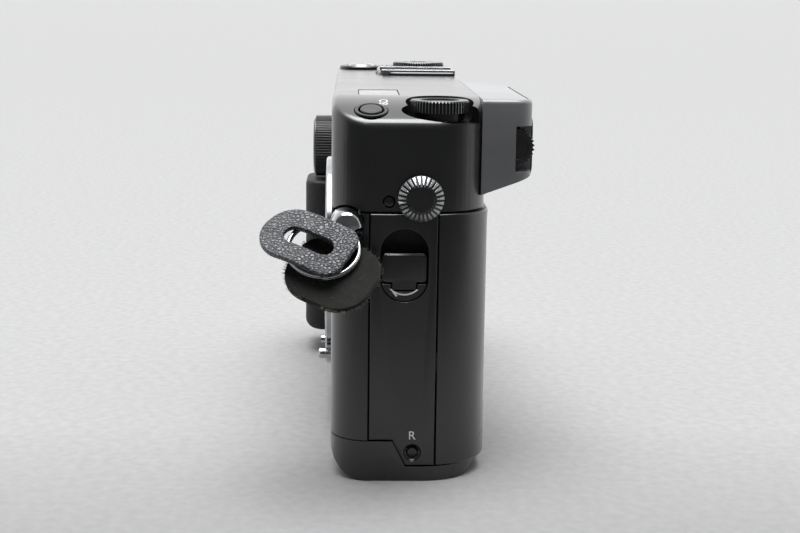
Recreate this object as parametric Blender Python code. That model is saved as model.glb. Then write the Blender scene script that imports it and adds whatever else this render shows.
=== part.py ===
"""Autofocus rangefinder camera for 35 mm film, without its lens, as an assembly of separate pieces.

Frame: +X is the photographer's left (the latch end), -Y is the front (lens side), +Z is up.
The origin is the middle of the base. Sizes below are in millimetres; MM turns them to metres.
"""
import math

import bmesh
import bpy
from mathutils import Matrix, Vector

MM = 0.001
GAP = 0.3            # clearance between pieces that touch

# ---- body envelope ----
HALF = 66.5          # half of the body's width
FRONT = -17.0        # front plane of the covers
TOP_BACK = 13.6      # back plane of the top cover
DOOR_BACK = 14.5     # back plane of the door
BASE_BACK = 13.3     # the base stops short of the door
FRONT_RADIUS = 8.0   # plan radius of the front corners
BACK_RADIUS = 12.0   # plan radius of the back corners
WALL = 1.5
TOP_SEAM = 54.3      # joint between top cover and body
BASE_SEAM = 8.2      # joint between front cover and base
SKIRT = 3.0          # rim of the base under the side panel and door
PLATEAU = 76.0       # flat top
SHOULDER_X = 49.5    # the top starts to fall here
SHOULDER_RADIUS = 35.0
BASE_ROUND_FRONT = 6.5
BASE_ROUND_BACK = 5.5
PANEL_FRONT = -9.5   # seam between front cover and side panel
PANEL_BACK = 4.0     # seam between side panel and door
FACE_IN = HALF - WALL
CHASSIS_INSET = 2.0
CHASSIS_BACK = 10.6  # film rails
CHASSIS_LOW = 4.6
CHASSIS_HIGH = 53.9

# ---- lens mount, gate and shutter ----
LENS_X = 5.0
LENS_Z = 34.0
SOCKET_Y = -4.5      # tripod socket
MOUNT_RADIUS = 24.5
MOUNT_FACE = -18.8
MOUNT_BACK = -15.3
THROAT_RADIUS = 20.0
THROAT_DEPTH = -3.0
GATE_WIDE = 36.0
GATE_HIGH = 24.0
BLADE_COUNT = 4
BLADE_WIDE = 37.4
BLADE_LAP = 0.3
BLADE_THICK = 0.15
BLADE_PITCH = 0.45
BLADE_FRONT = 7.7
SLOT_LOW = 14.0

# ---- film transport ----
CARTRIDGE = (49.0, -0.6, 12.9)
TAKEUP = (-34.5, -0.6, 9.5)
SPROCKET = (-19.5, 4.6, 5.2)
CHAMBER_LOW = 9.0
CHAMBER_HIGH = 51.5
BATTERY = (-54.0, -3.2, 7.8)
CELL_LONG = 27.0
HOLDER_RADIUS = 9.0

# ---- door ----
HINGE = (-60.0, 12.9)
KNUCKLE_RADIUS = 1.5
PIN_RADIUS = 0.6
DOOR_LOW = 3.3
DOOR_EDGE = -58.2
HINGE_POST = -62.6   # back edge of the front cover's far wrap
KNUCKLES = (14.0, 43.0)

# ---- near end ----
LATCH_Y = -2.6
LATCH_Z = 41.35
LATCH_RADIUS = 4.6
WELL_RADIUS = 5.2
WELL_TOP_Z = 46.4
KEY_AXIS = (65.6, 39.8)   # X and Z
SYNC = (0.4, 57.3)
SYNC_CAP_RADIUS = 4.5
SCREW = (-5.7, 56.5)
R_BUTTON = (-0.6, 5.9)
LUG = (-13.9, 52.1)
LUG_RADIUS = 3.2
LUG_EYE = Vector((69.3, -13.9, 51.8))
RING_RADIUS = 7.6
RING_WIRE = 0.5
RING_DOWN = Vector((0.75, 0.0, -0.66)).normalized()
RING_CENTRE = LUG_EYE + RING_DOWN * 6.46 + Vector((0.0, -4.0, 0.0))
GUARD_LEAN = 29.0

# ---- top controls ----
ISO = (61.8, -9.3)
DRIVE = (57.0, 4.3, 5.95)
SCOOP_RADIUS = 8.0
SCOOP_FLOOR = 72.0
LCD = (33.0, 49.2, -11.9, -3.2)
DECK_TOP = 76.9
DECK_NEAR = -22.4
SHOE = (-44.2, -23.4, -5.5, 12.8)
DIAL = (-54.5, 4.9, 6.8)
DIAL_TOP = 78.0
RELEASE = (-55.0, -10.5, 3.6)
FOCUS_DIAL = (-50.0, 55.5, 8.2)
GRIP = (-61.5, -40.0, -25.2)

# ---- eyepiece ----
EYE_BOX = (14.5, 60.5, 13.9, 22.7, 57.1, 76.0)
EYE_FLARE = -4.0     # the housing's far side slopes out from here
EYE_HOLE = (40.0, 54.0, 61.0, 71.0)
DIOPTER = (56.4, 59.6, 19.3, 66.7, 3.8)

FINISHES = {
    "black_paint": ("202124", 0.42, 0.0),
    "die_cast": ("5C5F61", 0.5, 0.9),
    "matte_plastic": ("2B2C2E", 0.6, 0.0),
    "rubber": ("1B1B1C", 0.85, 0.0),
    "chrome": ("C9CBCC", 0.18, 1.0),
    "steel": ("9FA2A4", 0.3, 1.0),
    "glass": ("7E98A6", 0.05, 0.0),
    "lcd": ("9AA39B", 0.2, 0.0),
    "leather": ("1E1D1C", 0.55, 0.0),
    "board": ("2F5A35", 0.6, 0.0),
    "cell": ("B9B5A6", 0.4, 0.3),
}


def srgb(code):
    """Turn a hex colour to linear RGBA."""
    channels = [int(code[i:i + 2], 16) / 255 for i in (0, 2, 4)]
    return [c / 12.92 if c <= 0.04045 else ((c + 0.055) / 1.055) ** 2.4 for c in channels] + [1.0]


def finish_for(name, finish):
    """Each piece has its own Principled material."""
    colour, rough, metal = FINISHES[finish]
    material = bpy.data.materials.new(name)
    material.use_nodes = True
    shader = material.node_tree.nodes["Principled BSDF"]
    shader.inputs["Base Color"].default_value = srgb(colour)
    shader.inputs["Roughness"].default_value = rough
    shader.inputs["Metallic"].default_value = metal
    return material


# ---------------------------------------------------------------- outlines
def arc(cu, cv, radius, start, end, steps=6):
    """Points of an arc, angles in degrees."""
    angles = [math.radians(start + (end - start) * i / steps) for i in range(steps + 1)]
    return [(cu + radius * math.cos(a), cv + radius * math.sin(a)) for a in angles]


def circle(cu, cv, radius, steps=32):
    return arc(cu, cv, radius, 0.0, 360.0 * (steps - 1) / steps, steps - 1)


def rounded(u0, u1, v0, v1, radius, steps=4):
    """Rectangle with four equal round corners."""
    points = arc(u0 + radius, v0 + radius, radius, 180, 270, steps)
    points += arc(u1 - radius, v0 + radius, radius, 270, 360, steps)
    points += arc(u1 - radius, v1 - radius, radius, 0, 90, steps)
    return points + arc(u0 + radius, v1 - radius, radius, 90, 180, steps)


def plan(inset, back, back_radius=BACK_RADIUS):
    """Outline of the body seen from above, moved inwards by inset."""
    front_r = FRONT_RADIUS - inset
    back_r = back_radius - inset
    side = HALF - inset
    points = arc(-side + front_r, FRONT + inset + front_r, front_r, 180, 270)
    points += arc(side - front_r, FRONT + inset + front_r, front_r, 270, 360)
    points += arc(side - back_r, back - inset - back_r, back_r, 0, 90)
    return points + arc(-side + back_r, back - inset - back_r, back_r, 90, 180)


def toothed(cu, cv, root, tip, teeth):
    """Outline with trapezoid teeth."""
    points = []
    for i in range(teeth):
        for share, radius in ((0.0, root), (0.25, tip), (0.5, tip), (0.75, root)):
            angle = 2 * math.pi * (i + share) / teeth
            points.append((cu + radius * math.cos(angle), cv + radius * math.sin(angle)))
    return points


def oval(cu, cv, half_long, half_wide, steps=24):
    """Ellipse whose long axis leans from the second axis towards the first."""
    lean = math.radians(GUARD_LEAN)
    points = []
    for i in range(steps):
        angle = 2 * math.pi * i / steps
        along = half_long * math.cos(angle)
        across = half_wide * math.sin(angle)
        points.append((cu + along * math.sin(lean) - across * math.cos(lean),
                       cv + along * math.cos(lean) + across * math.sin(lean)))
    return points


# ---------------------------------------------------------------- solids
AXIS_PLACES = {"X": lambda u, v, w: (w, u, v), "Y": lambda u, v, w: (u, w, v), "Z": lambda u, v, w: (u, v, w)}


def prism(outline, axis, low, high):
    """Extrude a closed outline along an axis."""
    bm = bmesh.new()
    place = AXIS_PLACES[axis]
    face = bm.faces.new([bm.verts.new(place(u, v, low)) for u, v in outline])
    grown = bmesh.ops.extrude_face_region(bm, geom=[face])
    moved = [item for item in grown["geom"] if isinstance(item, bmesh.types.BMVert)]
    bmesh.ops.translate(bm, vec=Vector(place(0.0, 0.0, high - low)), verts=moved)
    return bm


def box(x0, x1, y0, y1, z0, z1):
    return prism([(x0, y0), (x1, y0), (x1, y1), (x0, y1)], "Z", z0, z1)


def rod(axis, cu, cv, radius, low, high, steps=32):
    return prism(circle(cu, cv, radius, steps), axis, low, high)


def turned(axis, cu, cv, profile, steps=32):
    """Turn a closed profile of (radius, height) points round an axis."""
    bm = bmesh.new()
    place = AXIS_PLACES[axis]
    verts = [bm.verts.new(place(cu + r, cv, h)) for r, h in profile]
    edges = [bm.edges.new((a, b)) for a, b in zip(verts, verts[1:] + verts[:1])]
    bmesh.ops.spin(bm, geom=verts + edges, cent=place(cu, cv, 0.0), axis=place(0.0, 0.0, 1.0),
                   angle=2 * math.pi, steps=steps, use_merge=True)
    return bm


def bevel_where(bm, test, width, segments):
    """Round the edges whose two ends pass the test."""
    edges = [e for e in bm.edges if all(test(v.co) for v in e.verts)]
    bmesh.ops.bevel(bm, geom=edges, offset=width, segments=segments, profile=0.5, affect="EDGES")
    return bm


def add(name, bm, finish, origin=(0.0, 0.0, 0.0)):
    """Make a named object from a bmesh drawn in the camera's frame, in millimetres."""
    bmesh.ops.remove_doubles(bm, verts=bm.verts, dist=1e-4)
    bmesh.ops.recalc_face_normals(bm, faces=bm.faces)
    bmesh.ops.translate(bm, vec=-Vector(origin), verts=bm.verts)
    bmesh.ops.scale(bm, vec=(MM, MM, MM), verts=bm.verts)
    mesh = bpy.data.meshes.new(name)
    bm.to_mesh(mesh)
    bm.free()
    mesh.shade_smooth()
    mesh.set_sharp_from_angle(angle=math.radians(30))
    obj = bpy.data.objects.new(name, mesh)
    obj.location = Vector(origin) * MM
    bpy.context.scene.collection.objects.link(obj)
    if finish:
        mesh.materials.append(finish_for(name, finish))
    return obj


def cut_by(target, tool, operation="DIFFERENCE"):
    """Run a Boolean with another object, which is then only a guide."""
    tool.hide_render = True
    tool.display_type = "WIRE"
    step = target.modifiers.new(operation.title(), "BOOLEAN")
    step.operation = operation
    step.object = tool
    step.solver = "EXACT"


def combine(target, bm, operation="DIFFERENCE"):
    """Cut a shape from an object, or join it on."""
    cut_by(target, add(f"{target.name}.tool", bm, None), operation)


def cut(target, *shapes):
    for bm in shapes:
        combine(target, bm)


def join(target, *shapes):
    for bm in shapes:
        combine(target, bm, "UNION")


# ---------------------------------------------------------------- covers
def base_tray(name, inset, low, finish):
    """The base's outer or inner form: the body's plan, with its two long bottom edges rounded."""
    front_r = BASE_ROUND_FRONT - inset
    back_r = BASE_ROUND_BACK - inset
    section = arc(FRONT + inset + front_r, low + front_r, front_r, 180, 270)
    section += arc(BASE_BACK - inset - back_r, low + back_r, back_r, 270, 360)
    section += [(BASE_BACK - inset, 20), (FRONT + inset, 20)]
    top = BASE_SEAM if inset == 0 else BASE_SEAM + 1
    tray = add(name, prism(plan(inset, BASE_BACK), "Z", low, top), finish)
    combine(tray, prism(section, "X", -70, 70), "INTERSECT")
    return tray


def make_bottom_cover():
    cover = base_tray("bottom_cover", 0.0, 0.0, "black_paint")
    hollow = base_tray("bottom_cover.hollow", WALL, 1.6, None)
    lowered = [(-4.6, BASE_SEAM), (-2.0, SKIRT), (20, SKIRT), (20, 12), (-4.6, 12)]
    cut_by(cover, hollow)
    cut(cover, prism(lowered, "X", HINGE_POST + GAP, 70),
        rod("Z", BATTERY[0], BATTERY[1], 8.9, -1, 3), rod("Z", LENS_X, SOCKET_Y, 5.2, -1, 3))


def make_front_cover():
    cover = add("front_cover", prism(plan(0, DOOR_BACK), "Z", BASE_SEAM + GAP, TOP_SEAM - 0.15), "black_paint")
    cut(cover, prism(plan(WALL, DOOR_BACK), "Z", 0, 60),
        box(HINGE_POST, 70, PANEL_FRONT - 0.15, 20, 0, 60),
        rod("Y", LENS_X, LENS_Z, MOUNT_RADIUS + GAP, -20, -14, 48),
        rod("X", LUG[0], LUG[1], LUG_RADIUS + GAP, 55, 72),
        rod("X", LUG[0], LUG[1], LUG_RADIUS + GAP, -72, -55),
        rod("Y", 24.0, 15.9, 1.2 + GAP, -20, -14),
        rod("Y", FOCUS_DIAL[0], FOCUS_DIAL[1], 1.9, -20, -14))


def make_side_panel():
    side = [(PANEL_FRONT + 0.15, BASE_SEAM + GAP), (-4.75, BASE_SEAM + GAP), (-2.15, SKIRT + GAP),
            (PANEL_BACK - 0.15, SKIRT + GAP), (PANEL_BACK - 0.15, TOP_SEAM - 0.15),
            (PANEL_FRONT + 0.15, TOP_SEAM - 0.15)]
    panel = add("side_panel", prism(side, "X", FACE_IN, HALF), "black_paint")
    well = arc(LATCH_Y, WELL_TOP_Z, WELL_RADIUS, 0, 180, 16) + arc(LATCH_Y, LATCH_Z, WELL_RADIUS, 180, 360, 16)
    cut(panel, prism(well, "X", 60, 70), rod("X", *R_BUTTON, 1.3, 60, 70, 20))


def top_deck():
    """Raised deck at the far end, with its S-shaped front edge."""
    outline = [(DECK_NEAR, TOP_BACK - 1.0), (-63.0, TOP_BACK - 3.0), (-63.0, -2.5)]
    outline += arc(-46.0, -6.6 + 60, 60.0, 255, 268, 4)
    outline += arc(-33.0, -10.5, 4.0, 100, 60, 4) + arc(-27.4, -1.5, 5.0, 250, 360, 8)
    return prism(outline, "Z", PLATEAU - 1, DECK_TOP)


def shoulder_cut():
    """What the falling near shoulder leaves off."""
    drop = math.degrees(math.acos((HALF + 0.5 - SHOULDER_X) / SHOULDER_RADIUS))
    curve = arc(SHOULDER_X, PLATEAU - SHOULDER_RADIUS, SHOULDER_RADIUS, 90, drop, 10)
    return prism(curve + [(HALF + 0.5, PLATEAU + 3), (SHOULDER_X, PLATEAU + 3)], "Y", -20, 20)


def make_top_cover():
    back_r = BACK_RADIUS - (DOOR_BACK - TOP_BACK)
    cover = add("top_cover", prism(plan(0, TOP_BACK, back_r), "Z", TOP_SEAM + 0.15, PLATEAU), "black_paint")
    join(cover, top_deck())
    inner = prism(plan(WALL, TOP_BACK, back_r), "Z", 50, 72.0)
    low_inner = prism([(SHOULDER_X, 69.8), (70, 69.8), (70, 73), (SHOULDER_X, 73)], "Y", -20, 20)
    hollow = add("top_cover.hollow", inner, None)
    combine(hollow, low_inner)
    cut_by(cover, hollow)
    cut(cover, shoulder_cut(),
        box(LCD[0], LCD[1] + GAP, LCD[2], LCD[3], 75.0, 80),
        rod("Z", ISO[0], ISO[1], 3.4, 60, 80),
        rod("Z", DRIVE[0], DRIVE[1], SCOOP_RADIUS, SCOOP_FLOOR, 80),
        rod("Z", DRIVE[0], DRIVE[1], 1.5, 60, 80, 16),
        box(SHOE[0] - GAP, SHOE[1] + GAP, SHOE[2] - GAP, 16, 73.6, 80),
        rod("Z", DIAL[0], DIAL[1], 8.7, 75.0, 80), rod("Z", DIAL[0], DIAL[1], 1.9, 60, 80, 16),
        rod("Z", RELEASE[0], RELEASE[1], 6.1, 74.3, 80), rod("Z", RELEASE[0], RELEASE[1], 3.9, 60, 80),
        box(37.7, 56.3, -20, -14, 58.2, 69.3), box(23.7, 32.3, -20, -14, 60.2, 67.8),
        box(-20.3, -11.7, -20, -14, 60.2, 67.8),
        box(EYE_HOLE[0], EYE_HOLE[1], 10, 16, EYE_HOLE[2], 69.5),
        rod("Y", LENS_X, LENS_Z, MOUNT_RADIUS + GAP, -20, -14, 48),
        rod("X", LUG[0], LUG[1], LUG_RADIUS + GAP, 55, 72),
        rod("X", LUG[0], LUG[1], LUG_RADIUS + GAP, -72, -55),
        rod("X", *SYNC, 2.7, 60, 70, 24), rod("X", *SCREW, 1.4, 60, 70, 20),
        rod("Y", FOCUS_DIAL[0], FOCUS_DIAL[1], 1.9, -20, -14))


def make_grip():
    x0, x1, front = GRIP
    outline = arc(x0 + 4, front + 4, 4, 180, 270) + arc(x1 - 5, front + 5, 5, 270, 350)
    outline += [(x1, FRONT - GAP), (x0, FRONT - GAP)]
    bm = prism(outline, "Z", 6.0, 46.9)
    add("grip_rubber", bevel_where(bm, lambda co: co.z < 6.1 and co.y < FRONT - 1, 3.0, 3), "rubber")


# ---------------------------------------------------------------- frame and film
def make_chassis():
    chassis = add("chassis", prism(plan(CHASSIS_INSET, BASE_BACK), "Z", CHASSIS_LOW, CHASSIS_HIGH), "die_cast")
    gate_low = LENS_Z - GATE_HIGH / 2
    gate_high = LENS_Z + GATE_HIGH / 2
    half_slot = BLADE_WIDE / 2 + 0.3
    cut(chassis, box(-70, 70, CHASSIS_BACK, 20, 0, 60),
        box(-70, 70, BASE_BACK - WALL - 1.6, 20, 0, BASE_SEAM),
        rod("Y", LENS_X, LENS_Z, THROAT_RADIUS, -20, THROAT_DEPTH, 48),
        box(LENS_X - GATE_WIDE / 2, LENS_X + GATE_WIDE / 2, THROAT_DEPTH - 1, 15, gate_low, gate_high),
        box(LENS_X - half_slot, LENS_X + half_slot, 7.4, 9.7, SLOT_LOW, gate_high + 0.6))
    for x, y, radius in (CARTRIDGE, TAKEUP):
        cut(chassis, rod("Z", x, y, radius, CHAMBER_LOW, CHAMBER_HIGH, 40),
            box(x - radius, x + radius, y, 15, CHAMBER_LOW, CHAMBER_HIGH))
    cut(chassis, rod("Z", *SPROCKET, CHAMBER_LOW, CHAMBER_HIGH),
        box(SPROCKET[0] - 4.6, SPROCKET[0] + 4.6, SPROCKET[1], 15, CHAMBER_LOW, CHAMBER_HIGH),
        rod("Z", BATTERY[0], BATTERY[1], HOLDER_RADIUS + GAP, 0, 60),
        rod("Z", CARTRIDGE[0], CARTRIDGE[1], 1.9, 48, 60, 16),
        rod("Z", LENS_X, SOCKET_Y, 5.3, 0, 8.6), box(62.4, 70, -9.2, 14, 0, 60))
    for x, y, radius in (TAKEUP, SPROCKET):
        cut(chassis, rod("Z", x, y, 1.6, 5, CHAMBER_LOW + 1, 16))
    for sign in (1, -1):
        low, high = sorted((sign * 55, sign * 72))
        cut(chassis, rod("X", LUG[0], LUG[1], LUG_RADIUS + GAP, low, high))
    for low, high in ((CHASSIS_LOW + 0.5, KNUCKLES[0] - GAP), (KNUCKLES[1] + GAP, CHASSIS_HIGH - 0.5)):
        join(chassis, box(HINGE[0] - 1.2, HINGE[0] + 0.4, 9.5, HINGE[1] - 0.4, max(low, BASE_SEAM + GAP), high),
             rod("Z", *HINGE, KNUCKLE_RADIUS, low, high, 20))
    cut(chassis, rod("Z", *HINGE, PIN_RADIUS + GAP, 0, 60, 16))


def make_door():
    door = add("back_door", prism(plan(0, DOOR_BACK), "Z", DOOR_LOW, CHASSIS_HIGH), "black_paint",
               (*HINGE, DOOR_LOW))
    cut(door, prism(plan(WALL, DOOR_BACK), "Z", 0, 60), box(-70, 70, -20, PANEL_BACK + 0.15, 0, 60),
        box(-70, DOOR_EDGE, -20, 20, 0, 60))
    low, high = KNUCKLES
    join(door, rod("Z", *HINGE, KNUCKLE_RADIUS, low, high, 20),
         box(HINGE[0] + 0.8, DOOR_EDGE + 1, 13.1, 14.3, low, high),
         box(63.4, 65.6, 4.5, 6.2, 22, 26), box(63.4, 64.7, 1.6, 5.0, 22, 26))
    cut(door, rod("Z", *HINGE, PIN_RADIUS + GAP, 0, 60, 16), box(44.7, 52.3, 12, 16, 17.7, 48.3))
    add("film_window", box(45, 52, 13.2, 14.2, 18, 48), "glass")
    add("door_hinge_pin", rod("Z", *HINGE, PIN_RADIUS, 4.2, 53.2, 16), "steel")
    plate = prism(rounded(LENS_X - 23, LENS_X + 23, LENS_Z - 15, LENS_Z + 15, 2.0), "Y", 10.95, 12.3)
    add("pressure_plate", plate, "steel")


def make_transport():
    x, y, radius = TAKEUP
    spool = [(0, CHAMBER_LOW - 3.4), (1.3, CHAMBER_LOW - 3.4), (1.3, 9.5), (8.6, 9.5), (8.6, 11), (6.5, 11),
             (6.5, 49), (8.6, 49), (8.6, 50.5), (0, 50.5)]
    add("takeup_spool", turned("Z", x, y, spool), "matte_plastic", (x, y, 0))
    x, y, radius = SPROCKET
    drum = [(0, 5.6), (1.3, 5.6), (1.3, 9.5), (3.6, 9.5), (3.6, 50.5), (0, 50.5)]
    sprocket = add("film_sprocket", turned("Z", x, y, drum, 24), "matte_plastic", (x, y, 0))
    for height in (LENS_Z - 14.2, LENS_Z + 14.2):
        join(sprocket, prism(toothed(x, y, 3.5, 4.5, 6), "Z", height - 0.7, height + 0.7))
    x, y, radius = CARTRIDGE
    shaft = [(0, 46), (2.6, 46), (2.6, 51.2), (1.5, 51.2), (1.5, 57), (0, 57)]
    fork = add("rewind_fork", turned("Z", x, y, shaft, 24), "steel", (x, y, 0))
    cut(fork, box(x - 0.9, x + 0.9, y - 3, y + 3, 45, 49.5))


def make_shutter():
    """Blades that cover the gate and stack under it."""
    height = GATE_HIGH / BLADE_COUNT
    for i in range(BLADE_COUNT):
        low = LENS_Z - GATE_HIGH / 2 + height * i - BLADE_LAP
        front = BLADE_FRONT + BLADE_PITCH * i
        blade = box(LENS_X - BLADE_WIDE / 2, LENS_X + BLADE_WIDE / 2, front, front + BLADE_THICK,
                    low, low + height + 2 * BLADE_LAP)
        add(f"shutter_blade_{i + 1}", blade, "black_paint", (LENS_X, front, low))


def make_power():
    x, y, cell = BATTERY
    tube = [(8.1, 3.0), (HOLDER_RADIUS, 3.0), (HOLDER_RADIUS, 58.2), (0, 58.2), (0, 57.3), (8.1, 57.3)]
    add("battery_holder", turned("Z", x, y, tube), "matte_plastic")
    for name, low in (("battery_lower", 2.4), ("battery_upper", 2.4 + CELL_LONG + GAP)):
        can = [(0, low), (cell, low), (cell, low + CELL_LONG - 1), (3, low + CELL_LONG - 1),
               (3, low + CELL_LONG), (0, low + CELL_LONG)]
        add(name, turned("Z", x, y, can), "cell")
    cap = add("battery_cap", turned("Z", x, y, [(0, 0.3), (8.6, 0.3), (8.6, 1.7), (0, 1.7)]), "black_paint",
              (x, y, 0))
    cut(cap, box(x - 5.5, x + 5.5, y - 0.8, y + 0.8, -1, 1.1))
    socket = [(3.2, 0.15), (4.9, 0.15), (4.9, 8.2), (0, 8.2), (0, 7.0), (3.2, 7.0)]
    add("tripod_socket", turned("Z", LENS_X, SOCKET_Y, socket, 24), "steel")
    add("circuit_board", prism(rounded(-42, 34, -12, 9, 2.0), "Z", 59.5, 60.5), "board")


# ---------------------------------------------------------------- lens side
def make_mount():
    ring = [(20.5, MOUNT_BACK), (MOUNT_RADIUS, MOUNT_BACK), (MOUNT_RADIUS, MOUNT_FACE + 0.4),
            (MOUNT_RADIUS - 0.4, MOUNT_FACE), (20.5, MOUNT_FACE)]
    mount = add("mount_ring", turned("Y", LENS_X, LENS_Z, ring, 64), "chrome")
    drive = (LENS_X - 21.1, LENS_Z - 7.7)
    pin = (LENS_X + 16.3, LENS_Z - 15.5)
    cut(mount, rod("Y", *drive, 1.7, -20, -14, 16), rod("Y", *pin, 1.1, -20, -14, 16))
    shaft = add("focus_drive_shaft", rod("Y", *drive, 1.35, -19.2, -15.4, 16), "steel", (drive[0], 0, drive[1]))
    cut(shaft, box(drive[0] - 2, drive[0] + 2, -20, -18.4, drive[1] - 0.25, drive[1] + 0.25))
    add("lens_lock_pin", rod("Y", *pin, 0.8, -19.7, -15.9, 16), "chrome", (pin[0], -15.9, pin[1]))
    button = turned("Y", 24.0, 15.9, [(0, -15.8), (1.2, -15.8), (1.2, -19.9), (0.9, -20.2), (0, -20.2)], 20)
    add("lens_release_button", button, "chrome", (24.0, -15.8, 15.9))
    add("contact_block", box(0.5, 9.5, -17.5, -12.0, 15.2, 17.2), "matte_plastic")


def make_finder():
    add("viewfinder_block", box(38, 57.5, -14.6, 11.6, 58.2, 69.2), "matte_plastic")
    add("viewfinder_window", box(38, 56, -16.8, -15.2, 58.5, 69.0), "glass")
    add("af_window_left", box(24, 32, -16.8, -15.2, 60.5, 67.5), "glass")
    add("af_window_right", box(-20, -12, -16.8, -15.2, 60.5, 67.5), "glass")
    x0, x1, y0, y1, z0, z1 = EYE_BOX
    outline = [(EYE_FLARE, y0), (x1, y0)] + arc(x1 - 3.5, y1 - 3.5, 3.5, 0, 90, 5)
    outline += arc(x0 + 4, y1 - 4, 4, 90, 155, 5)
    housing = add("eyepiece_housing", prism(outline, "Z", z0, z1), "matte_plastic")
    under = [(y0 - 1, z0 - 1), (y1 + 1, z0 - 1), (y1 + 1, z0 + 4.4), (y1 - 0.8, z0 + 3.4), (y0 - 1, z0 - 0.3)]
    d0, d1, dy, dz, dr = DIOPTER
    cut(housing, prism(under, "X", EYE_FLARE - 5, x1 + 5), box(EYE_HOLE[0], EYE_HOLE[1], 10, 25, EYE_HOLE[2], EYE_HOLE[3]),
        prism(rounded(38.3, 55.4, 59.9, 72.6, 3.0), "Y", 21.2, 25),
        box(d0 - GAP, x1 + 1, 19.3, 25, 61.2, 71.0), rod("X", dy, dz, dr + GAP, d0 - GAP, d1 + GAP))
    cup = prism(rounded(38.6, 55.1, 60.2, 72.3, 2.8), "Y", 21.5, 23.3)
    cup = add("eyecup", cup, "rubber")
    cut(cup, prism(rounded(41, 53, 62, 70.5, 2.0), "Y", 20, 25))
    add("eyepiece_lens", box(40.5, 53.5, 19.4, 20.8, 61.5, 70.5), "glass")
    add("diopter_wheel", prism(toothed(dy, dz, dr - 0.3, dr, 20), "X", d0, d1), "matte_plastic", (0, dy, dz))


# ---------------------------------------------------------------- top controls
def make_top_controls():
    add("lcd_window", box(LCD[0] + GAP, LCD[1], LCD[2] + GAP, LCD[3] - GAP, 75.3, 75.95), "lcd")
    x, y = ISO
    add("iso_bezel", turned("Z", x, y, [(2.5, 71.0), (3.1, 71.0), (3.1, 74.0), (2.5, 74.0)], 28), "black_paint")
    add("iso_button", rod("Z", x, y, 2.2, 70.5, 73.85, 24), "black_paint", (x, y, 70.5))
    x, y, radius = DRIVE
    dial = add("drive_dial", prism(toothed(x, y, radius - 0.3, radius, 36), "Z", SCOOP_FLOOR + 1.2, 75.6),
               "black_paint", (x, y, SCOOP_FLOOR))
    join(dial, rod("Z", x, y, 1.2, 69.6, SCOOP_FLOOR + 2, 12))
    x0, x1, y0, y1 = SHOE
    channel = [(x0, 73.9), (x1, 73.9), (x1, 77.3), (x1 - 4.2, 77.3), (x1 - 4.2, 76.6), (x1 - 1.1, 76.6),
               (x1 - 1.1, 74.6), (x0 + 1.1, 74.6), (x0 + 1.1, 76.6), (x0 + 4.2, 76.6), (x0 + 4.2, 77.3),
               (x0, 77.3)]
    add("hot_shoe", prism(channel, "Y", y0, y1), "steel")
    x, y, radius = DIAL
    dial = add("shutter_dial", prism(toothed(x, y, radius - 0.3, radius, 32), "Z", 75.4, DIAL_TOP),
               "black_paint", (x, y, 75.4))
    join(dial, rod("Z", x, y, 1.5, 70.5, 76, 12))
    add("exposure_ring", turned("Z", x, y, [(7.1, 75.4), (8.4, 75.4), (8.4, 77.0), (7.1, 77.0)], 36),
        "black_paint", (x, y, 75.4))
    x, y, radius = RELEASE
    add("shutter_button", turned("Z", x, y, [(0, 71), (radius, 71), (radius, 77.0), (2.4, 77.4), (0, 77.2)]),
        "black_paint", (x, y, 71))
    add("power_switch", turned("Z", x, y, [(4.0, 74.6), (5.8, 74.6), (5.8, 76.9), (4.0, 76.9)]), "black_paint",
        (x, y, 74.6))
    x, z, radius = FOCUS_DIAL
    wheel = [(0, -14.6), (1.5, -14.6), (1.5, -17.5), (radius, -17.5), (radius, -22.4), (radius - 1, -23.2),
             (0, -23.2)]
    add("focus_dial", turned("Y", x, z, wheel, 36), "black_paint", (x, -17.5, z))


# ---------------------------------------------------------------- near end
def make_sync():
    y, z = SYNC
    add("sync_socket", turned("X", y, z, [(1.5, 67.6), (1.5, 63.0), (0, 63.0), (0, 61.0), (2.4, 61.0), (2.4, 67.6)],
                              24), "steel")
    radius = SYNC_CAP_RADIUS
    cap = [(2.75, 66.8), (radius, 66.8), (radius, 68.1), (2.9, 69.3), (0, 69.3), (0, 68.0), (2.75, 68.0)]
    add("sync_cap", turned("X", y, z, cap), "black_paint", (66.8, y, z))
    screw = add("cover_screw", rod("X", *SCREW, 1.1, 65.2, 66.2, 20), "black_paint")
    cut(screw, box(65.8, 67, SCREW[0] - 0.8, SCREW[0] + 0.8, SCREW[1] - 0.15, SCREW[1] + 0.15),
        box(65.8, 67, SCREW[0] - 0.15, SCREW[0] + 0.15, SCREW[1] - 0.8, SCREW[1] + 0.8))


def lug_post(sign):
    """Round post with a domed head."""
    reach = [(0, 62.8), (LUG_RADIUS, 62.8), (LUG_RADIUS, 69.8), (2.7, 70.9), (1.6, 71.5), (0, 71.7)]
    return turned("X", *LUG, [(r, sign * x) for r, x in reach], 28)


def tilted_rod(centre, direction, radius, half_length):
    """Cylinder through a point along any direction."""
    bm = rod("Z", 0, 0, radius, -half_length, half_length, 20)
    turn = Vector((0, 0, 1)).rotation_difference(direction).to_matrix().to_4x4()
    bm.transform(Matrix.Translation(centre) @ turn)
    return bm


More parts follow.
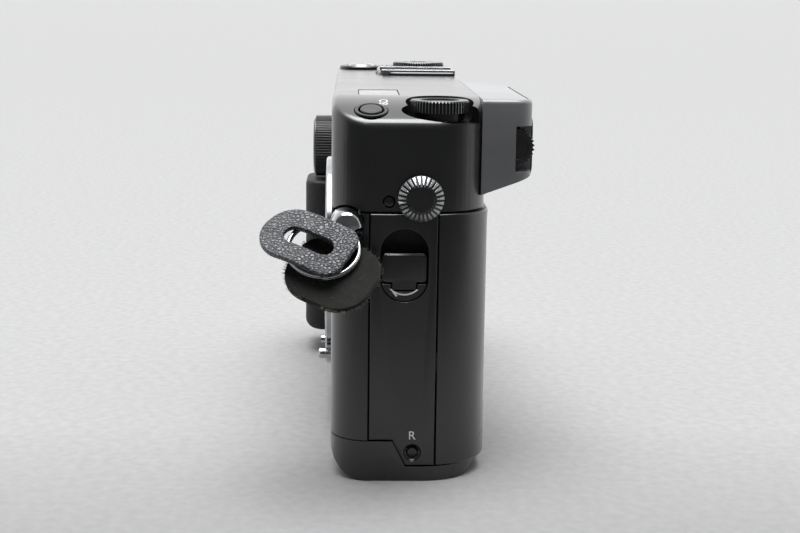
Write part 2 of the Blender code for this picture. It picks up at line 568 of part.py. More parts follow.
def make_lugs_and_ring():
    normal = RING_DOWN.cross(Vector((0, 1, 0)))
    eye_axis = normal.cross(LUG_EYE - RING_CENTRE).normalized()
    near = add("strap_lug_near", lug_post(1), "chrome")
    far = add("strap_lug_far", lug_post(-1), "chrome")
    cut(near, tilted_rod(LUG_EYE, eye_axis, 1.5, 6))
    cut(far, tilted_rod(Vector((-LUG_EYE.x, LUG_EYE.y, LUG_EYE.z)), Vector((0, 1, 0)), 1.5, 6))
    local = Matrix((RING_DOWN, Vector((0, 1, 0)), normal)).transposed().to_4x4()
    place = Matrix.Translation(RING_CENTRE) @ local
    ring = bmesh.new()
    loop = bmesh.ops.create_circle(ring, radius=RING_WIRE, segments=8)["verts"]
    ring_turn = Matrix.Translation((RING_RADIUS, 0, 0)) @ Matrix.Rotation(math.radians(90), 4, "X")
    bmesh.ops.transform(ring, matrix=ring_turn, verts=loop)
    bmesh.ops.spin(ring, geom=ring.verts[:] + ring.edges[:], cent=(0, 0, 0), axis=(0, 0, 1),
                   angle=2 * math.pi, steps=48, use_merge=True)
    ring.transform(place)
    add("split_ring", ring, "steel", LUG_EYE)
    guard = None
    for shape, low, high in ((oval(-1.1, -2.1, 10.5, 5.6), 1.1, 2.4), (oval(4.6, 1.7, 9.2, 7.6), -2.4, -1.1),
                             (oval(-1.4, -6.0, 6.5, 3.2), -2.4, -1.1), (circle(-4.9, -9.3, 2.0, 16), -2.2, 2.2)):
        leaf = prism(shape, "Z", low, high)
        leaf.transform(place)
        if guard:
            join(guard, leaf)
        else:
            guard = add("leather_guard", leaf, "leather", LUG_EYE)
    cut(guard, rod("X", *LUG, 4.2, 60, 90))


def make_latch():
    disc = add("latch_disc", rod("X", LATCH_Y, LATCH_Z, LATCH_RADIUS, 63.2, 66.2, 36), "black_paint",
               (63.2, LATCH_Y, LATCH_Z))
    cut(disc, box(64.6, 70, -10, 5, 40.2, 50), box(64.6, 70, LATCH_Y - 2.6, LATCH_Y + 2.6, 38.7, 41))
    key = add("latch_key", prism(rounded(LATCH_Y - 4.5, LATCH_Y + 4.5, 40.5, 46.3, 0.8), "X", 64.95, 66.25),
              "black_paint", (KEY_AXIS[0], LATCH_Y, KEY_AXIS[1]))
    join(key, box(64.95, 66.25, LATCH_Y - 2.3, LATCH_Y + 2.3, 39.1, 41.0))
    add("latch_bar", box(63.2, 64.5, -1.6, 1.2, 13, 34), "steel", (63.2, -1.6, 13))
    add("rewind_button", rod("X", *R_BUTTON, 1.0, 63.4, 66.1, 20), "black_paint", (66.1, *R_BUTTON))


def main():
    for obj in list(bpy.data.objects):
        bpy.data.objects.remove(obj, do_unlink=True)
    for make in (make_chassis, make_front_cover, make_top_cover, make_bottom_cover, make_side_panel, make_grip,
                 make_door, make_transport, make_shutter, make_power, make_mount, make_finder,
                 make_top_controls, make_sync, make_lugs_and_ring, make_latch):
        make()


main()
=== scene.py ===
"""Rangefinder camera: the finished look of every visible piece, built round the camera's fixed frame."""
import math
import random

import bmesh
import bpy
from mathutils import Matrix, Vector, noise


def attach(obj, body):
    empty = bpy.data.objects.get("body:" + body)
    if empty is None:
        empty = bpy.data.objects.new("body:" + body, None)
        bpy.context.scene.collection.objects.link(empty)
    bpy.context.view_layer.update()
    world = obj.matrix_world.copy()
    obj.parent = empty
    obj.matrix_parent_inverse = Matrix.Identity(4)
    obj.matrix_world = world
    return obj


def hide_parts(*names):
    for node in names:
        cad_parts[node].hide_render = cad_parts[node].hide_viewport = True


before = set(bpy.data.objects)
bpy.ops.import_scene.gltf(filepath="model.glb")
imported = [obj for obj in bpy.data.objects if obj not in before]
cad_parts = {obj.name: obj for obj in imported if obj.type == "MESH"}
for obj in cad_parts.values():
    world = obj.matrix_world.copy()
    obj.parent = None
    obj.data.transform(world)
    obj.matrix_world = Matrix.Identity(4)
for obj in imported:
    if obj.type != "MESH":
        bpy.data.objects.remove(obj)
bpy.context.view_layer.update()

bl_info = {
    "name": "Rangefinder Camera Looks",
    "version": (1, 0, 0),
    "blender": (4, 5, 0),
    "location": "3D View > Sidebar > Camera",
    "description": "Builds the finished pieces, finishes and studio of a film rangefinder camera",
    "category": "Object",
}

MM = 0.001               # metres in a millimetre

# Lengths in mm. X runs to the end with the strap ring, Y to the back and Z up.
GAP = 0.3                # clearance between neighbours
HALF = 66.5              # half of the body's width
TOP_NEAR = 66.25         # the top cover's ends stand a little inside the side panel
FRONT = -17.0            # front and back faces, as Y
TOP_BACK = 13.6
DOOR_BACK = 14.5
BASE_BACK = 13.3
FRONT_RADIUS = 8.0       # upright corners, seen from above
BACK_RADIUS = 12.0
WALL = 1.5               # thickness of every cover
TOP_SEAM = 54.3          # seams between covers, as Z
BASE_SEAM = 8.2
SKIRT = 3.0              # top of the lowered base, under the door
PLATEAU = 76.0           # flat top of the top cover, as Z
SHOULDER = (49.5, 35.0)  # X where the top starts to fall, and the radius it falls along
BASE_ROUND = (6.5, 5.5)  # radius under the base, front and back
PANEL_FRONT = -9.5       # edges of the end panel, as Y
PANEL_BACK = 4.0
LENS = (5.0, 34.0)       # axis of the mount, X and Z
MOUNT_RADIUS = 24.5
HINGE = (-60.0, 12.9)    # axis of the door, X and Y
DOOR_EDGE = -58.2        # edge of the door beside its hinge, as X
HINGE_POST = -62.6       # edge of the fixed end beside the hinge, as X
KNUCKLES = (14.0, 43.0)  # lowest and highest Z of the door knuckles
LATCH = (-2.6, 41.35)    # Y and Z on the near end, down to LUG
SYNC = (0.4, 57.3)
SCREW = (-5.7, 56.5)
R_BUTTON = (-0.6, 5.9)
LUG = (-13.9, 52.1)
LUG_EYE = Vector((69.3, -13.9, 51.8))  # centre of the hole through the strap post
RING_DOWN = Vector((0.75, 0.0, -0.66)).normalized()  # direction in which the ring hangs
RING_CENTRE = LUG_EYE + RING_DOWN * 6.46 + Vector((0.0, -4.0, 0.0))
ISO = (61.8, -9.3)       # X and Y
DRIVE = (57.0, 4.3)      # X and Y
LCD = (33.3, 49.2, -11.6, -3.5)  # X from and to, Y from and to, as for SHOE
DECK_TOP = 76.9          # raised deck under the dials: top as Z, near end as X
DECK_NEAR = -22.4
SHOE = (-44.2, -23.4, -5.5, 12.8)
DIAL = (-54.5, 4.9, 6.8)  # X, Y and radius, as for RELEASE
RELEASE = (-55.0, -10.5, 3.6)
FOCUS_DIAL = (-50.0, 55.5, 8.2)  # X, Z and radius
GRIP = (-61.5, -40.0, -25.2)  # X from and to, and its front as Y
EYE_BOX = (14.5, 60.5, 13.9, 22.7, 57.1, 76.0)  # finder housing: X, Y and Z, each from and to
EYE_FLARE = -4.0         # X of the corner where its far side meets the body
EYE_HOLE = (40.0, 54.0, 61.0, 71.0)  # X from and to, Z from and to
DIOPTER = (56.4, 59.6, 19.3, 66.7, 3.8)  # X from and to, Y, Z and radius of the wheel

LEAF_LEAN = math.radians(29)  # how far the guard leans on the ring's plane
TURN = 2 * math.pi
VIEW_FROM = Vector((349.5, -13.16, 96.22))  # where the viewer's eye is
VIEW_HEADING = Vector((-0.9994, 0.0342, 0.0))
VIEW_PITCH = 10.49       # degrees down from level
VIEW_ROLL = 0.7          # degrees
VIEW_LENS = 66.33        # focal length on a 36 mm wide frame

FINISH = {}              # finish name -> material, filled by the finishes operator


def linear(code):
    """Turn an sRGB hex colour to linear red, green and blue."""
    channels = [int(code[i:i + 2], 16) / 255 for i in (0, 2, 4)]
    return [c / 12.92 if c <= 0.04045 else ((c + 0.055) / 1.055) ** 2.4 for c in channels]


# ---------------------------------------------------------------- settings
def colour_property(label, code):
    return bpy.props.FloatVectorProperty(name=label, description=f"Colour of the {label.lower()}", size=3,
                                         subtype="COLOR", min=0.0, max=1.0, default=linear(code))


def size_property(label, millimetres):
    return bpy.props.FloatProperty(name=label, description=f"{label}, in metres", unit="LENGTH", min=0.0,
                                   default=millimetres * MM, precision=5)


def count_property(label, number):
    return bpy.props.IntProperty(name=label, description=f"Number of {label.lower()}", min=3, default=number)


class CameraSizes(bpy.types.PropertyGroup):
    rim_round: size_property("Top rim radius", 1.3)
    panel_round: size_property("Panel edge radius", 0.45)
    fine_round: size_property("Cut edge radius", 0.12)
    cap_teeth: count_property("Sync cap teeth", 27)
    drive_teeth: count_property("Drive dial teeth", 54)
    dial_teeth: count_property("Shutter dial teeth", 64)
    suede_fibres: count_property("Suede fibres", 620)
    guard_thick: size_property("Guard leather thickness", 1.25)
    ring_wire: size_property("Split ring wire radius", 0.44)


class CameraColours(bpy.types.PropertyGroup):
    paint: colour_property("Body paint", "161718")
    paint_worn: colour_property("Rubbed body paint", "1B1C1D")
    dial: colour_property("Dial black", "1A1B1C")
    knurl: colour_property("Rubbed knurling", "B4B6B8")
    knurl_dark: colour_property("Dull knurling", "96989A")
    housing: colour_property("Finder housing", "6E6F71")
    housing_pale: colour_property("Finder housing mottle", "78797B")
    rubber: colour_property("Grip rubber", "191A1A")
    chrome: colour_property("Chrome", "C9CBCC")
    steel: colour_property("Steel", "A3A6A8")
    casting: colour_property("Die casting", "3C3E40")
    leather: colour_property("Guard leather creases", "232426")
    # painted sheen: the pale grey on the pebble tops stands for the top light's sheen on the black leather
    leather_painted_sheen: colour_property("Guard leather pebbles", "5C5F63")
    suede: colour_property("Guard suede", "080706")
    suede_pale: colour_property("Suede nap", "1B1912")
    fibre: colour_property("Suede fibres", "77715C")
    marks: colour_property("White marks", "E8E9E6")
    display: colour_property("Display", "575C56")
    board: colour_property("Circuit board", "2F5A35")
    cell: colour_property("Battery wrap", "B9B5A6")
    floor: colour_property("Studio floor", "9C9C9C")


def sizes():
    return bpy.context.scene.camera_sizes


def colours():
    return bpy.context.scene.camera_colours


# ---------------------------------------------------------------- finishes
def add_node(tree, kind, settings=(), links=()):
    """Add a node, set its own settings or its sockets, and link what feeds it."""
    made = tree.nodes.new(kind)
    for key, value in dict(settings).items():
        if isinstance(key, str) and hasattr(made, key):
            setattr(made, key, value)
        else:
            made.inputs[key].default_value = value
    for key, source in dict(links).items():
        tree.links.new(source, made.inputs[key])
    return made


def new_finish(name):
    material = bpy.data.materials.new(name)
    material.use_nodes = True
    FINISH[name] = material
    tree = material.node_tree
    return tree, tree.nodes["Principled BSDF"], add_node(tree, "ShaderNodeTexCoord").outputs["Object"]


def two_tone(tree, shader, factor, first, second):
    mix = add_node(tree, "ShaderNodeMix", {"data_type": "RGBA", 6: (*first, 1.0), 7: (*second, 1.0)},
                   {0: factor})
    tree.links.new(mix.outputs[2], shader.inputs["Base Color"])


def spread(tree, source, low, high, start=0.3, end=0.7):
    """Stretch a value's range from start and end to low and high."""
    made = add_node(tree, "ShaderNodeMapRange",
                    {"From Min": start, "From Max": end, "To Min": low, "To Max": high}, {"Value": source})
    return made.outputs["Result"]


def grain_of(tree, place, size, detail):
    """Noise whose grain has a size in mm."""
    return add_node(tree, "ShaderNodeTexNoise", {"Scale": 1 / (size * MM), "Detail": detail},
                    {"Vector": place})


def grained(name, first, second, rough, grain, depth, metallic=0.0, patch=18.0, rough_spread=0.06, coat=0.0):
    """A finish with a fine grain and slow patches in its tone; grain, depth and patch in mm."""
    tree, shader, place = new_finish(name)
    shader.inputs["Metallic"].default_value = metallic
    shader.inputs["Coat Weight"].default_value = coat
    shader.inputs["Coat Roughness"].default_value = 0.2
    patches = grain_of(tree, place, patch, 4.0)
    fine = grain_of(tree, place, grain, 2.0)
    two_tone(tree, shader, spread(tree, patches.outputs["Fac"], 0.0, 1.0), first, second)
    tree.links.new(spread(tree, patches.outputs["Fac"], rough - rough_spread, rough + rough_spread),
                   shader.inputs["Roughness"])
    bump = add_node(tree, "ShaderNodeBump", {"Strength": 0.5, "Distance": depth * MM},
                    {"Height": fine.outputs["Fac"]})
    tree.links.new(bump.outputs["Normal"], shader.inputs["Normal"])


def pebbled(name, first, second, rough, cell, depth, stretch=(1.0, 1.0, 1.0)):
    """Leather or rubber grain: raised cells with creases between them; cell and depth in mm."""
    tree, shader, place = new_finish(name)
    turned_place = add_node(tree, "ShaderNodeMapping", {"Scale": stretch}, {"Vector": place})
    cells = add_node(tree, "ShaderNodeTexVoronoi", {"feature": "DISTANCE_TO_EDGE", "Scale": 1 / (cell * MM)},
                     {"Vector": turned_place.outputs["Vector"]})
    nap = grain_of(tree, place, cell * 0.35, 3.0)
    raised = spread(tree, cells.outputs["Distance"], 0.0, 1.0, 0.0, 0.28)
    height = add_node(tree, "ShaderNodeMath", {"operation": "MULTIPLY_ADD", 1: 0.25}, {0: nap.outputs["Fac"],
                                                                                       2: raised})
    # cell tops take the second colour: on the guard leather it is a painted sheen
    two_tone(tree, shader, raised, first, second)
    tree.links.new(spread(tree, nap.outputs["Fac"], rough - 0.08, rough + 0.1), shader.inputs["Roughness"])
    bump = add_node(tree, "ShaderNodeBump", {"Strength": 0.9, "Distance": depth * MM},
                    {"Height": height.outputs["Value"]})
    tree.links.new(bump.outputs["Normal"], shader.inputs["Normal"])


class CAMERA_OT_finishes(bpy.types.Operator):
    """Make every finish and give the hidden works theirs"""
    bl_idname = "camera_looks.finishes"
    bl_label = "Finishes"

    def execute(self, context):
        tone = colours()
        # Satin black baked enamel on thin metal: soft, wide reflections with a faint orange-peel ripple.
        grained("baked_enamel", tone.paint, tone.paint_worn, 0.3, 0.45, 0.005, patch=14.0, rough_spread=0.03,
                coat=0.6)
        # Black anodised aluminium, turned: near the paint's black, with less gloss over it.
        grained("black_anodised", tone.dial, tone.paint_worn, 0.32, 0.3, 0.006, patch=6.0, coat=0.4)
        # Anodised knurling with its tips rubbed to bare metal: each tooth catches the light.
        grained("rubbed_knurling", tone.knurl, tone.knurl_dark, 0.3, 0.4, 0.002, metallic=1.0, patch=7.0)
        # Textured ABS, moulded: dark grey beside the paint, with a fine spark-eroded grain.
        grained("spark_grained_abs", tone.housing, tone.housing_pale, 0.42, 0.28, 0.01, patch=9.0, coat=0.6)
        # Moulded black ABS for hidden works, with a dull even skin.
        grained("moulded_abs", tone.dial, tone.housing, 0.55, 0.4, 0.01, patch=5.0)
        # Polished chrome plate on brass: near mirror, with fine wiping haze.
        grained("chrome_plate", tone.chrome, tone.steel, 0.12, 0.6, 0.002, metallic=1.0, patch=3.0,
                rough_spread=0.05)
        # Spring steel wire and pressed steel: bright, with a drawn haze.
        grained("pressed_steel", tone.steel, tone.chrome, 0.24, 0.35, 0.004, metallic=1.0, patch=4.0)
        # Die-cast aluminium, blackened against stray light: dull and slightly pitted.
        grained("blackened_casting", tone.casting, tone.dial, 0.6, 0.5, 0.03, metallic=0.4, patch=7.0)
        # Grip rubber, moulded with a close pebble.
        pebbled("pebbled_rubber", tone.dial, tone.rubber, 0.62, 0.9, 0.06)
        # Grained calf leather, pressed: a painted grey sheen on the pebble tops, black in the creases.
        pebbled("grained_leather", tone.leather, tone.leather_painted_sheen, 0.36, 0.66, 0.13,
                stretch=(1.0, 0.8, 1.25))
        self.suede(tone)
        self.glass()
        self.display(tone)
        # Loose fibres of the suede, paler where they catch the light.
        grained("suede_fibre", tone.fibre, tone.suede_pale, 0.7, 0.3, 0.01, patch=0.9)
        # White filling paint in the engraved marks.
        grained("white_filling", tone.marks, tone.marks, 0.5, 0.2, 0.004)
        # Glass-fibre board with green solder mask.
        grained("solder_mask", tone.board, tone.dial, 0.35, 0.8, 0.01, patch=2.5)
        # Shrink-wrapped lithium cell.
        grained("cell_wrap", tone.cell, tone.steel, 0.35, 0.5, 0.004, patch=12.0)
        self.give_hidden_works()
        return {"FINISHED"}

    def suede(self, tone):
        """The leather's flesh side: a dull olive-black nap with paler fibre tips."""
        tree, shader, place = new_finish("suede_nap")
        fibres = grain_of(tree, place, 0.22, 6.0)
        fibres.inputs["Roughness"].default_value = 0.75
        tufts = grain_of(tree, place, 1.1, 3.0)
        both = add_node(tree, "ShaderNodeMath", {"operation": "MULTIPLY"},
                        {0: fibres.outputs["Fac"], 1: tufts.outputs["Fac"]})
        two_tone(tree, shader, spread(tree, both.outputs["Value"], 0.0, 1.0, 0.2, 0.46), tone.suede,
                 tone.suede_pale)
        shader.inputs["Roughness"].default_value = 0.95
        shader.inputs["Sheen Weight"].default_value = 0.1
        shader.inputs["Sheen Roughness"].default_value = 0.4
        bump = add_node(tree, "ShaderNodeBump", {"Strength": 1.0, "Distance": 0.12 * MM},
                        {"Height": both.outputs["Value"]})
        tree.links.new(bump.outputs["Normal"], shader.inputs["Normal"])

    def glass(self):
        """Coated optical glass: clear, with a faint blue-violet bloom in its reflection."""
        tree, shader, place = new_finish("coated_glass")
        haze = grain_of(tree, place, 6.0, 5.0)
        two_tone(tree, shader, haze.outputs["Fac"], linear("8FA6B4"), linear("9AA4C0"))
        tree.links.new(spread(tree, haze.outputs["Fac"], 0.02, 0.07), shader.inputs["Roughness"])
        shader.inputs["Transmission Weight"].default_value = 0.8
        shader.inputs["IOR"].default_value = 1.5
        shader.inputs["Coat Weight"].default_value = 0.6
        shader.inputs["Coat Roughness"].default_value = 0.03

    def display(self, tone):
        """Liquid crystal display under an acrylic window: grey-green with a smooth face."""
        tree, shader, place = new_finish("display_acrylic")
        cloud = grain_of(tree, place, 5.0, 3.0)
        two_tone(tree, shader, cloud.outputs["Fac"], tone.display, linear("60655F"))
        tree.links.new(spread(tree, cloud.outputs["Fac"], 0.16, 0.24), shader.inputs["Roughness"])
        shader.inputs["Coat Weight"].default_value = 0.25
        shader.inputs["Coat Roughness"].default_value = 0.06

    def give_hidden_works(self):
        works = {
            "blackened_casting": ["chassis"],
            "moulded_abs": ["contact_block", "viewfinder_block", "takeup_spool", "film_sprocket",
                            "battery_holder"],
            "baked_enamel": ["battery_cap"] + [f"shutter_blade_{i}" for i in (1, 2, 3, 4)],
            "pressed_steel": ["focus_drive_shaft", "sync_socket", "latch_bar", "door_hinge_pin",
                              "pressure_plate", "rewind_fork", "tripod_socket"],
            "coated_glass": ["viewfinder_window", "af_window_left", "af_window_right", "eyepiece_lens",
                             "film_window"],
            "chrome_plate": ["lens_lock_pin", "lens_release_button"],
            "solder_mask": ["circuit_board"],
            "cell_wrap": ["battery_upper", "battery_lower"],
        }
        for finish, names in works.items():
            for name in names:
                for material_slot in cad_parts[name].material_slots:
                    material_slot.material = FINISH[finish]


# ---------------------------------------------------------------- outlines, in mm
def arc(cu, cv, radius, start, end, steps=12):
    angles = [math.radians(start + (end - start) * i / steps) for i in range(steps + 1)]
    return [(cu + radius * math.cos(a), cv + radius * math.sin(a)) for a in angles]


def circle(cu, cv, radius, steps=48):
    return arc(cu, cv, radius, 0.0, 360.0 * (steps - 1) / steps, steps - 1)


def rounded(u0, u1, v0, v1, radius, steps=6):
    points = arc(u0 + radius, v0 + radius, radius, 180, 270, steps)
    points += arc(u1 - radius, v0 + radius, radius, 270, 360, steps)
    points += arc(u1 - radius, v1 - radius, radius, 0, 90, steps)
    return points + arc(u0 + radius, v1 - radius, radius, 90, 180, steps)


def capsule(cu, cv, radius, half, steps=12):
    """Slot outline, long in v."""
    return arc(cu, cv + half, radius, 0, 180, steps) + arc(cu, cv - half, radius, 180, 360, steps)


def plan(inset, back, back_radius=BACK_RADIUS, side=HALF):
    """The body seen from above, moved inwards by inset."""
    front_r = FRONT_RADIUS - inset
    back_r = back_radius - inset
    side -= inset
    points = arc(-side + front_r, FRONT + inset + front_r, front_r, 180, 270, 14)
    points += arc(side - front_r, FRONT + inset + front_r, front_r, 270, 360, 14)
    points += arc(side - back_r, back - inset - back_r, back_r, 0, 90, 14)
    return points + arc(-side + back_r, back - inset - back_r, back_r, 90, 180, 14)


def toothed(cu, cv, root, tip, teeth, land=0.25):
    points = []
    for i in range(teeth):
        for share, radius in ((0.0, root), (0.5 - land, tip), (0.5, tip), (1.0 - land, root)):
            angle = TURN * (i + share) / teeth
            points.append((cu + radius * math.cos(angle), cv + radius * math.sin(angle)))
    return points


# ---------------------------------------------------------------- solids, in mm
AXIS_PLACES = {"X": lambda u, v, w: (w, u, v), "Y": lambda u, v, w: (u, w, v),
               "Z": lambda u, v, w: (u, v, w)}


def tidy(bm):
    bmesh.ops.remove_doubles(bm, verts=bm.verts, dist=1e-4)
    bmesh.ops.recalc_face_normals(bm, faces=bm.faces)
    return bm


def prism(outline, axis, low, high):
    bm = bmesh.new()
    place = AXIS_PLACES[axis]
    face = bm.faces.new([bm.verts.new(place(u, v, low)) for u, v in outline])
    grown = bmesh.ops.extrude_face_region(bm, geom=[face])
    moved = [item for item in grown["geom"] if isinstance(item, bmesh.types.BMVert)]
    bmesh.ops.translate(bm, vec=Vector(place(0.0, 0.0, high - low)), verts=moved)
    return tidy(bm)


def box(x0, x1, y0, y1, z0, z1):
    return prism([(x0, y0), (x1, y0), (x1, y1), (x0, y1)], "Z", z0, z1)


def rod(axis, cu, cv, radius, low, high, steps=40):
    return prism(circle(cu, cv, radius, steps), axis, low, high)


def turned(axis, cu, cv, profile, steps=64):
    """Turn a closed profile of (radius, height) points round an axis."""
    bm = bmesh.new()
    place = AXIS_PLACES[axis]
    verts = [bm.verts.new(place(cu + r, cv, h)) for r, h in profile]
    edges = [bm.edges.new((a, b)) for a, b in zip(verts, verts[1:] + verts[:1])]
    bmesh.ops.spin(bm, geom=verts + edges, cent=place(cu, cv, 0.0), axis=place(0.0, 0.0, 1.0),
                   angle=TURN, steps=steps, use_merge=True)
    return tidy(bm)


def ball(centre, radius):
    bm = bmesh.new()
    bmesh.ops.create_uvsphere(bm, u_segments=32, v_segments=16, radius=radius)
    bmesh.ops.translate(bm, vec=Vector(centre), verts=bm.verts)
    return bm


def temporary(bm):
    mesh = bpy.data.meshes.new("working")
    bm.to_mesh(mesh)
    bm.free()
    obj = bpy.data.objects.new("working", mesh)
    bpy.context.scene.collection.objects.link(obj)
    return obj


def carve(bm, *tools, operation="DIFFERENCE"):
    """Cut closed shapes from another, or join them, and give back the result."""
    target = temporary(bm)
    guides = [temporary(tool) for tool in tools]
    for guide in guides:
        step = target.modifiers.new("carve", "BOOLEAN")
        step.operation = operation
        step.object = guide
        step.solver = "EXACT"
    bpy.context.view_layer.update()
    graph = bpy.context.evaluated_depsgraph_get()
    mesh = bpy.data.meshes.new_from_object(target.evaluated_get(graph))
    result = bmesh.new()
    result.from_mesh(mesh)
    bpy.data.meshes.remove(mesh)
    for obj in [target] + guides:
        spare = obj.data
        bpy.data.objects.remove(obj, do_unlink=True)
        bpy.data.meshes.remove(spare)
    bmesh.ops.remove_doubles(result, verts=result.verts, dist=1e-3)
    bmesh.ops.dissolve_degenerate(result, edges=result.edges, dist=1e-3)
    return result


def round_edges(bm, test, width, segments=4):
    """Round the edges whose two face normals and middle pass the test."""
    chosen = []
    for edge in bm.edges:
        if len(edge.link_faces) != 2 or edge.calc_face_angle(0.0) < math.radians(30):
            continue
        first, second = (face.normal for face in edge.link_faces)
        if test((edge.verts[0].co + edge.verts[1].co) / 2, first, second):
            chosen.append(edge)
    bmesh.ops.bevel(bm, geom=chosen, offset=width, segments=segments, profile=0.5, affect="EDGES",
                    clamp_overlap=True, material=-1)
    return bm


def rim(test):
    """Edges between a face that points up and an upright one, where the middle passes the test."""
    def chosen(middle, first, second):
        return test(middle) and max(first.z, second.z) > 0.6 and min(abs(first.z), abs(second.z)) < 0.1
    return chosen


def piece(name, bm, body, finish, replaces=(), fine=None, angle=35):
    """Make a finished piece: at the origin, in metres, riding on its body."""
    tidy(bm)
    bmesh.ops.scale(bm, vec=(MM, MM, MM), verts=bm.verts)
    mesh = bpy.data.meshes.new(name)
    bm.to_mesh(mesh)
    bm.free()
    mesh.materials.append(FINISH[finish])
    mesh.shade_smooth()
    obj = bpy.data.objects.new(name, mesh)
    bpy.context.scene.collection.objects.link(obj)
    width = sizes().fine_round if fine is None else fine * MM
    mesh.set_sharp_from_angle(angle=math.radians(angle))
    if width > 0:
        bevel = obj.modifiers.new("fine edges", "BEVEL")
        bevel.width = width
        bevel.segments = 2
        bevel.limit_method = "ANGLE"
        bevel.angle_limit = math.radians(angle)
        bevel.harden_normals = True
        bevel.use_clamp_overlap = True
    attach(obj, body)
    if replaces:
        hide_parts(*replaces)
    return obj


def second_finish(obj, finish, test):
    """Give the faces whose middle, in mm, and normal pass the test another finish."""
    obj.data.materials.append(FINISH[finish])
    index = len(obj.data.materials) - 1
    for face in obj.data.polygons:
        if test(face.center / MM, face.normal):
            face.material_index = index


def mark(name, words, height, place, body, deep=0.02):
    """Engraved and filled letters or numbers, laid on a surface by a matrix."""
    curve = bpy.data.curves.new(name, "FONT")
    curve.body = words
    curve.size = height
    curve.align_x = "CENTER"
    curve.align_y = "CENTER"
    curve.extrude = deep
    curve.resolution_u = 4
    letters = bpy.data.objects.new(name, curve)
    bpy.context.scene.collection.objects.link(letters)
    bpy.context.view_layer.update()
    mesh = bpy.data.meshes.new_from_object(letters.evaluated_get(bpy.context.evaluated_depsgraph_get()))
    bpy.data.objects.remove(letters, do_unlink=True)
    bpy.data.curves.remove(curve)
    bm = bmesh.new()
    bm.from_mesh(mesh)
    bpy.data.meshes.remove(mesh)
    bm.transform(place)
    return piece(name, bm, body, "white_filling", fine=0.0)


def facing(axis, at, turn=0.0):
    """Matrix that lays a flat shape on a face that looks along an axis, turned about it."""
    bases = {"X": Matrix(((0, 0, 1), (1, 0, 0), (0, 1, 0))),
             "-Y": Matrix(((1, 0, 0), (0, 0, -1), (0, 1, 0))), "Z": Matrix.Identity(3)}
    turned_by = Matrix.Rotation(math.radians(turn), 4, "Z")
    return Matrix.Translation(Vector(at)) @ bases[axis].to_4x4() @ turned_by


# ---------------------------------------------------------------- covers
def top_deck():
    outline = [(DECK_NEAR, TOP_BACK - 1.0), (-63.0, TOP_BACK - 3.0), (-63.0, -2.5)]
    outline += arc(-46.0, -6.6 + 60, 60.0, 255, 268, 6)
    outline += arc(-33.0, -10.5, 4.0, 100, 60, 6) + arc(-27.4, -1.5, 5.0, 250, 360, 12)
    bm = prism(outline, "Z", PLATEAU - 1, DECK_TOP)
    return round_edges(bm, rim(lambda middle: middle.z > PLATEAU), 0.8, 5)


def shoulder_drop(x):
    """How far the top has fallen at x."""
    start, radius = SHOULDER
    return radius - math.sqrt(radius ** 2 - (x - start) ** 2) if x > start else 0.0


def top_form(back_r):
    """The top cover's outer form: a rounded rim that follows the falling near shoulder."""
    bm = prism(plan(0, TOP_BACK, back_r, TOP_NEAR), "Z", TOP_SEAM + 0.25, PLATEAU)
    round_edges(bm, lambda middle, first, second: middle.z > PLATEAU - 0.1, sizes().rim_round / MM, 5)
    for step in range(26):
        bmesh.ops.bisect_plane(bm, geom=bm.verts[:] + bm.edges[:] + bm.faces[:], dist=1e-4,
                               plane_co=(SHOULDER[0] + 0.65 * step + 0.01, 0, 0), plane_no=(1, 0, 0))
    for vert in bm.verts:
        if vert.co.z > PLATEAU - 4:
            vert.co.z -= shoulder_drop(vert.co.x)
    bmesh.ops.triangulate(bm, faces=[face for face in bm.faces if face.calc_center_median().x > SHOULDER[0]])
    return tidy(bm)


class CAMERA_OT_top_cover(bpy.types.Operator):
    """Build the top cover with its shoulder, scoop, pockets and windows"""
    bl_idname = "camera_looks.top_cover"
    bl_label = "Top cover"

    def execute(self, context):
        back_r = BACK_RADIUS - (DOOR_BACK - TOP_BACK)
        inner = carve(prism(plan(WALL, TOP_BACK, back_r, TOP_NEAR), "Z", 50, 72.0),
                      box(SHOULDER[0], 70, -20, 20, 69.8, 73))
        scoop = turned("Z", *DRIVE, [(0, 71.5), (6.0, 71.5), (6.5, 72.0), (6.7, 73.0), (6.9, 80), (0, 80)])
        mouth = prism([(DRIVE[0] + 4.4 + 4.1 * math.cos(a), DRIVE[1] + 7.7 * math.sin(a))
                       for a in (math.radians(7.5 * i) for i in range(48))], "Z", 71.4, 80)
        bm = carve(top_form(back_r), top_deck(), operation="UNION")
        bm = carve(bm, inner, scoop, mouth,
                   box(LCD[0] - 0.15, LCD[1] + 0.15, LCD[2] - 0.15, LCD[3] + 0.15, 75.2, 80),
                   rod("Z", *ISO, 3.4, 60, 80), rod("Z", *DRIVE, 1.5, 60, 80, 24),
                   box(SHOE[0] - GAP, SHOE[1] + GAP, SHOE[2] - GAP, 16, 73.6, 80),
                   rod("Z", DIAL[0], DIAL[1], 8.7, 75.0, 80, 64),
                   rod("Z", DIAL[0], DIAL[1], 1.9, 60, 80, 24),
                   rod("Z", RELEASE[0], RELEASE[1], 6.1, 74.3, 80, 56),
                   rod("Z", RELEASE[0], RELEASE[1], 3.9, 60, 80, 48),
                   prism(rounded(37.7, 56.3, 58.2, 69.3, 1.2), "Y", -20, -14),
                   prism(rounded(23.7, 32.3, 60.2, 67.8, 1.0), "Y", -20, -14),
                   prism(rounded(-20.3, -11.7, 60.2, 67.8, 1.0), "Y", -20, -14),
                   box(EYE_HOLE[0], EYE_HOLE[1], 10, 16, EYE_HOLE[2], 69.5),
                   rod("Y", *LENS, MOUNT_RADIUS + GAP, -20, -14, 72),
                   rod("X", *LUG, 3.5, 55, 72, 36), rod("X", *LUG, 3.5, -72, -55, 36),
                   rod("X", *SYNC, 2.7, 60, 70, 32), rod("X", *SCREW, 1.25, 60, 70, 32),
                   rod("Y", FOCUS_DIAL[0], FOCUS_DIAL[1], 1.9, -20, -14, 24))
        piece("top_shell", bm, "body", "baked_enamel", ["top_cover"])
        return {"FINISHED"}


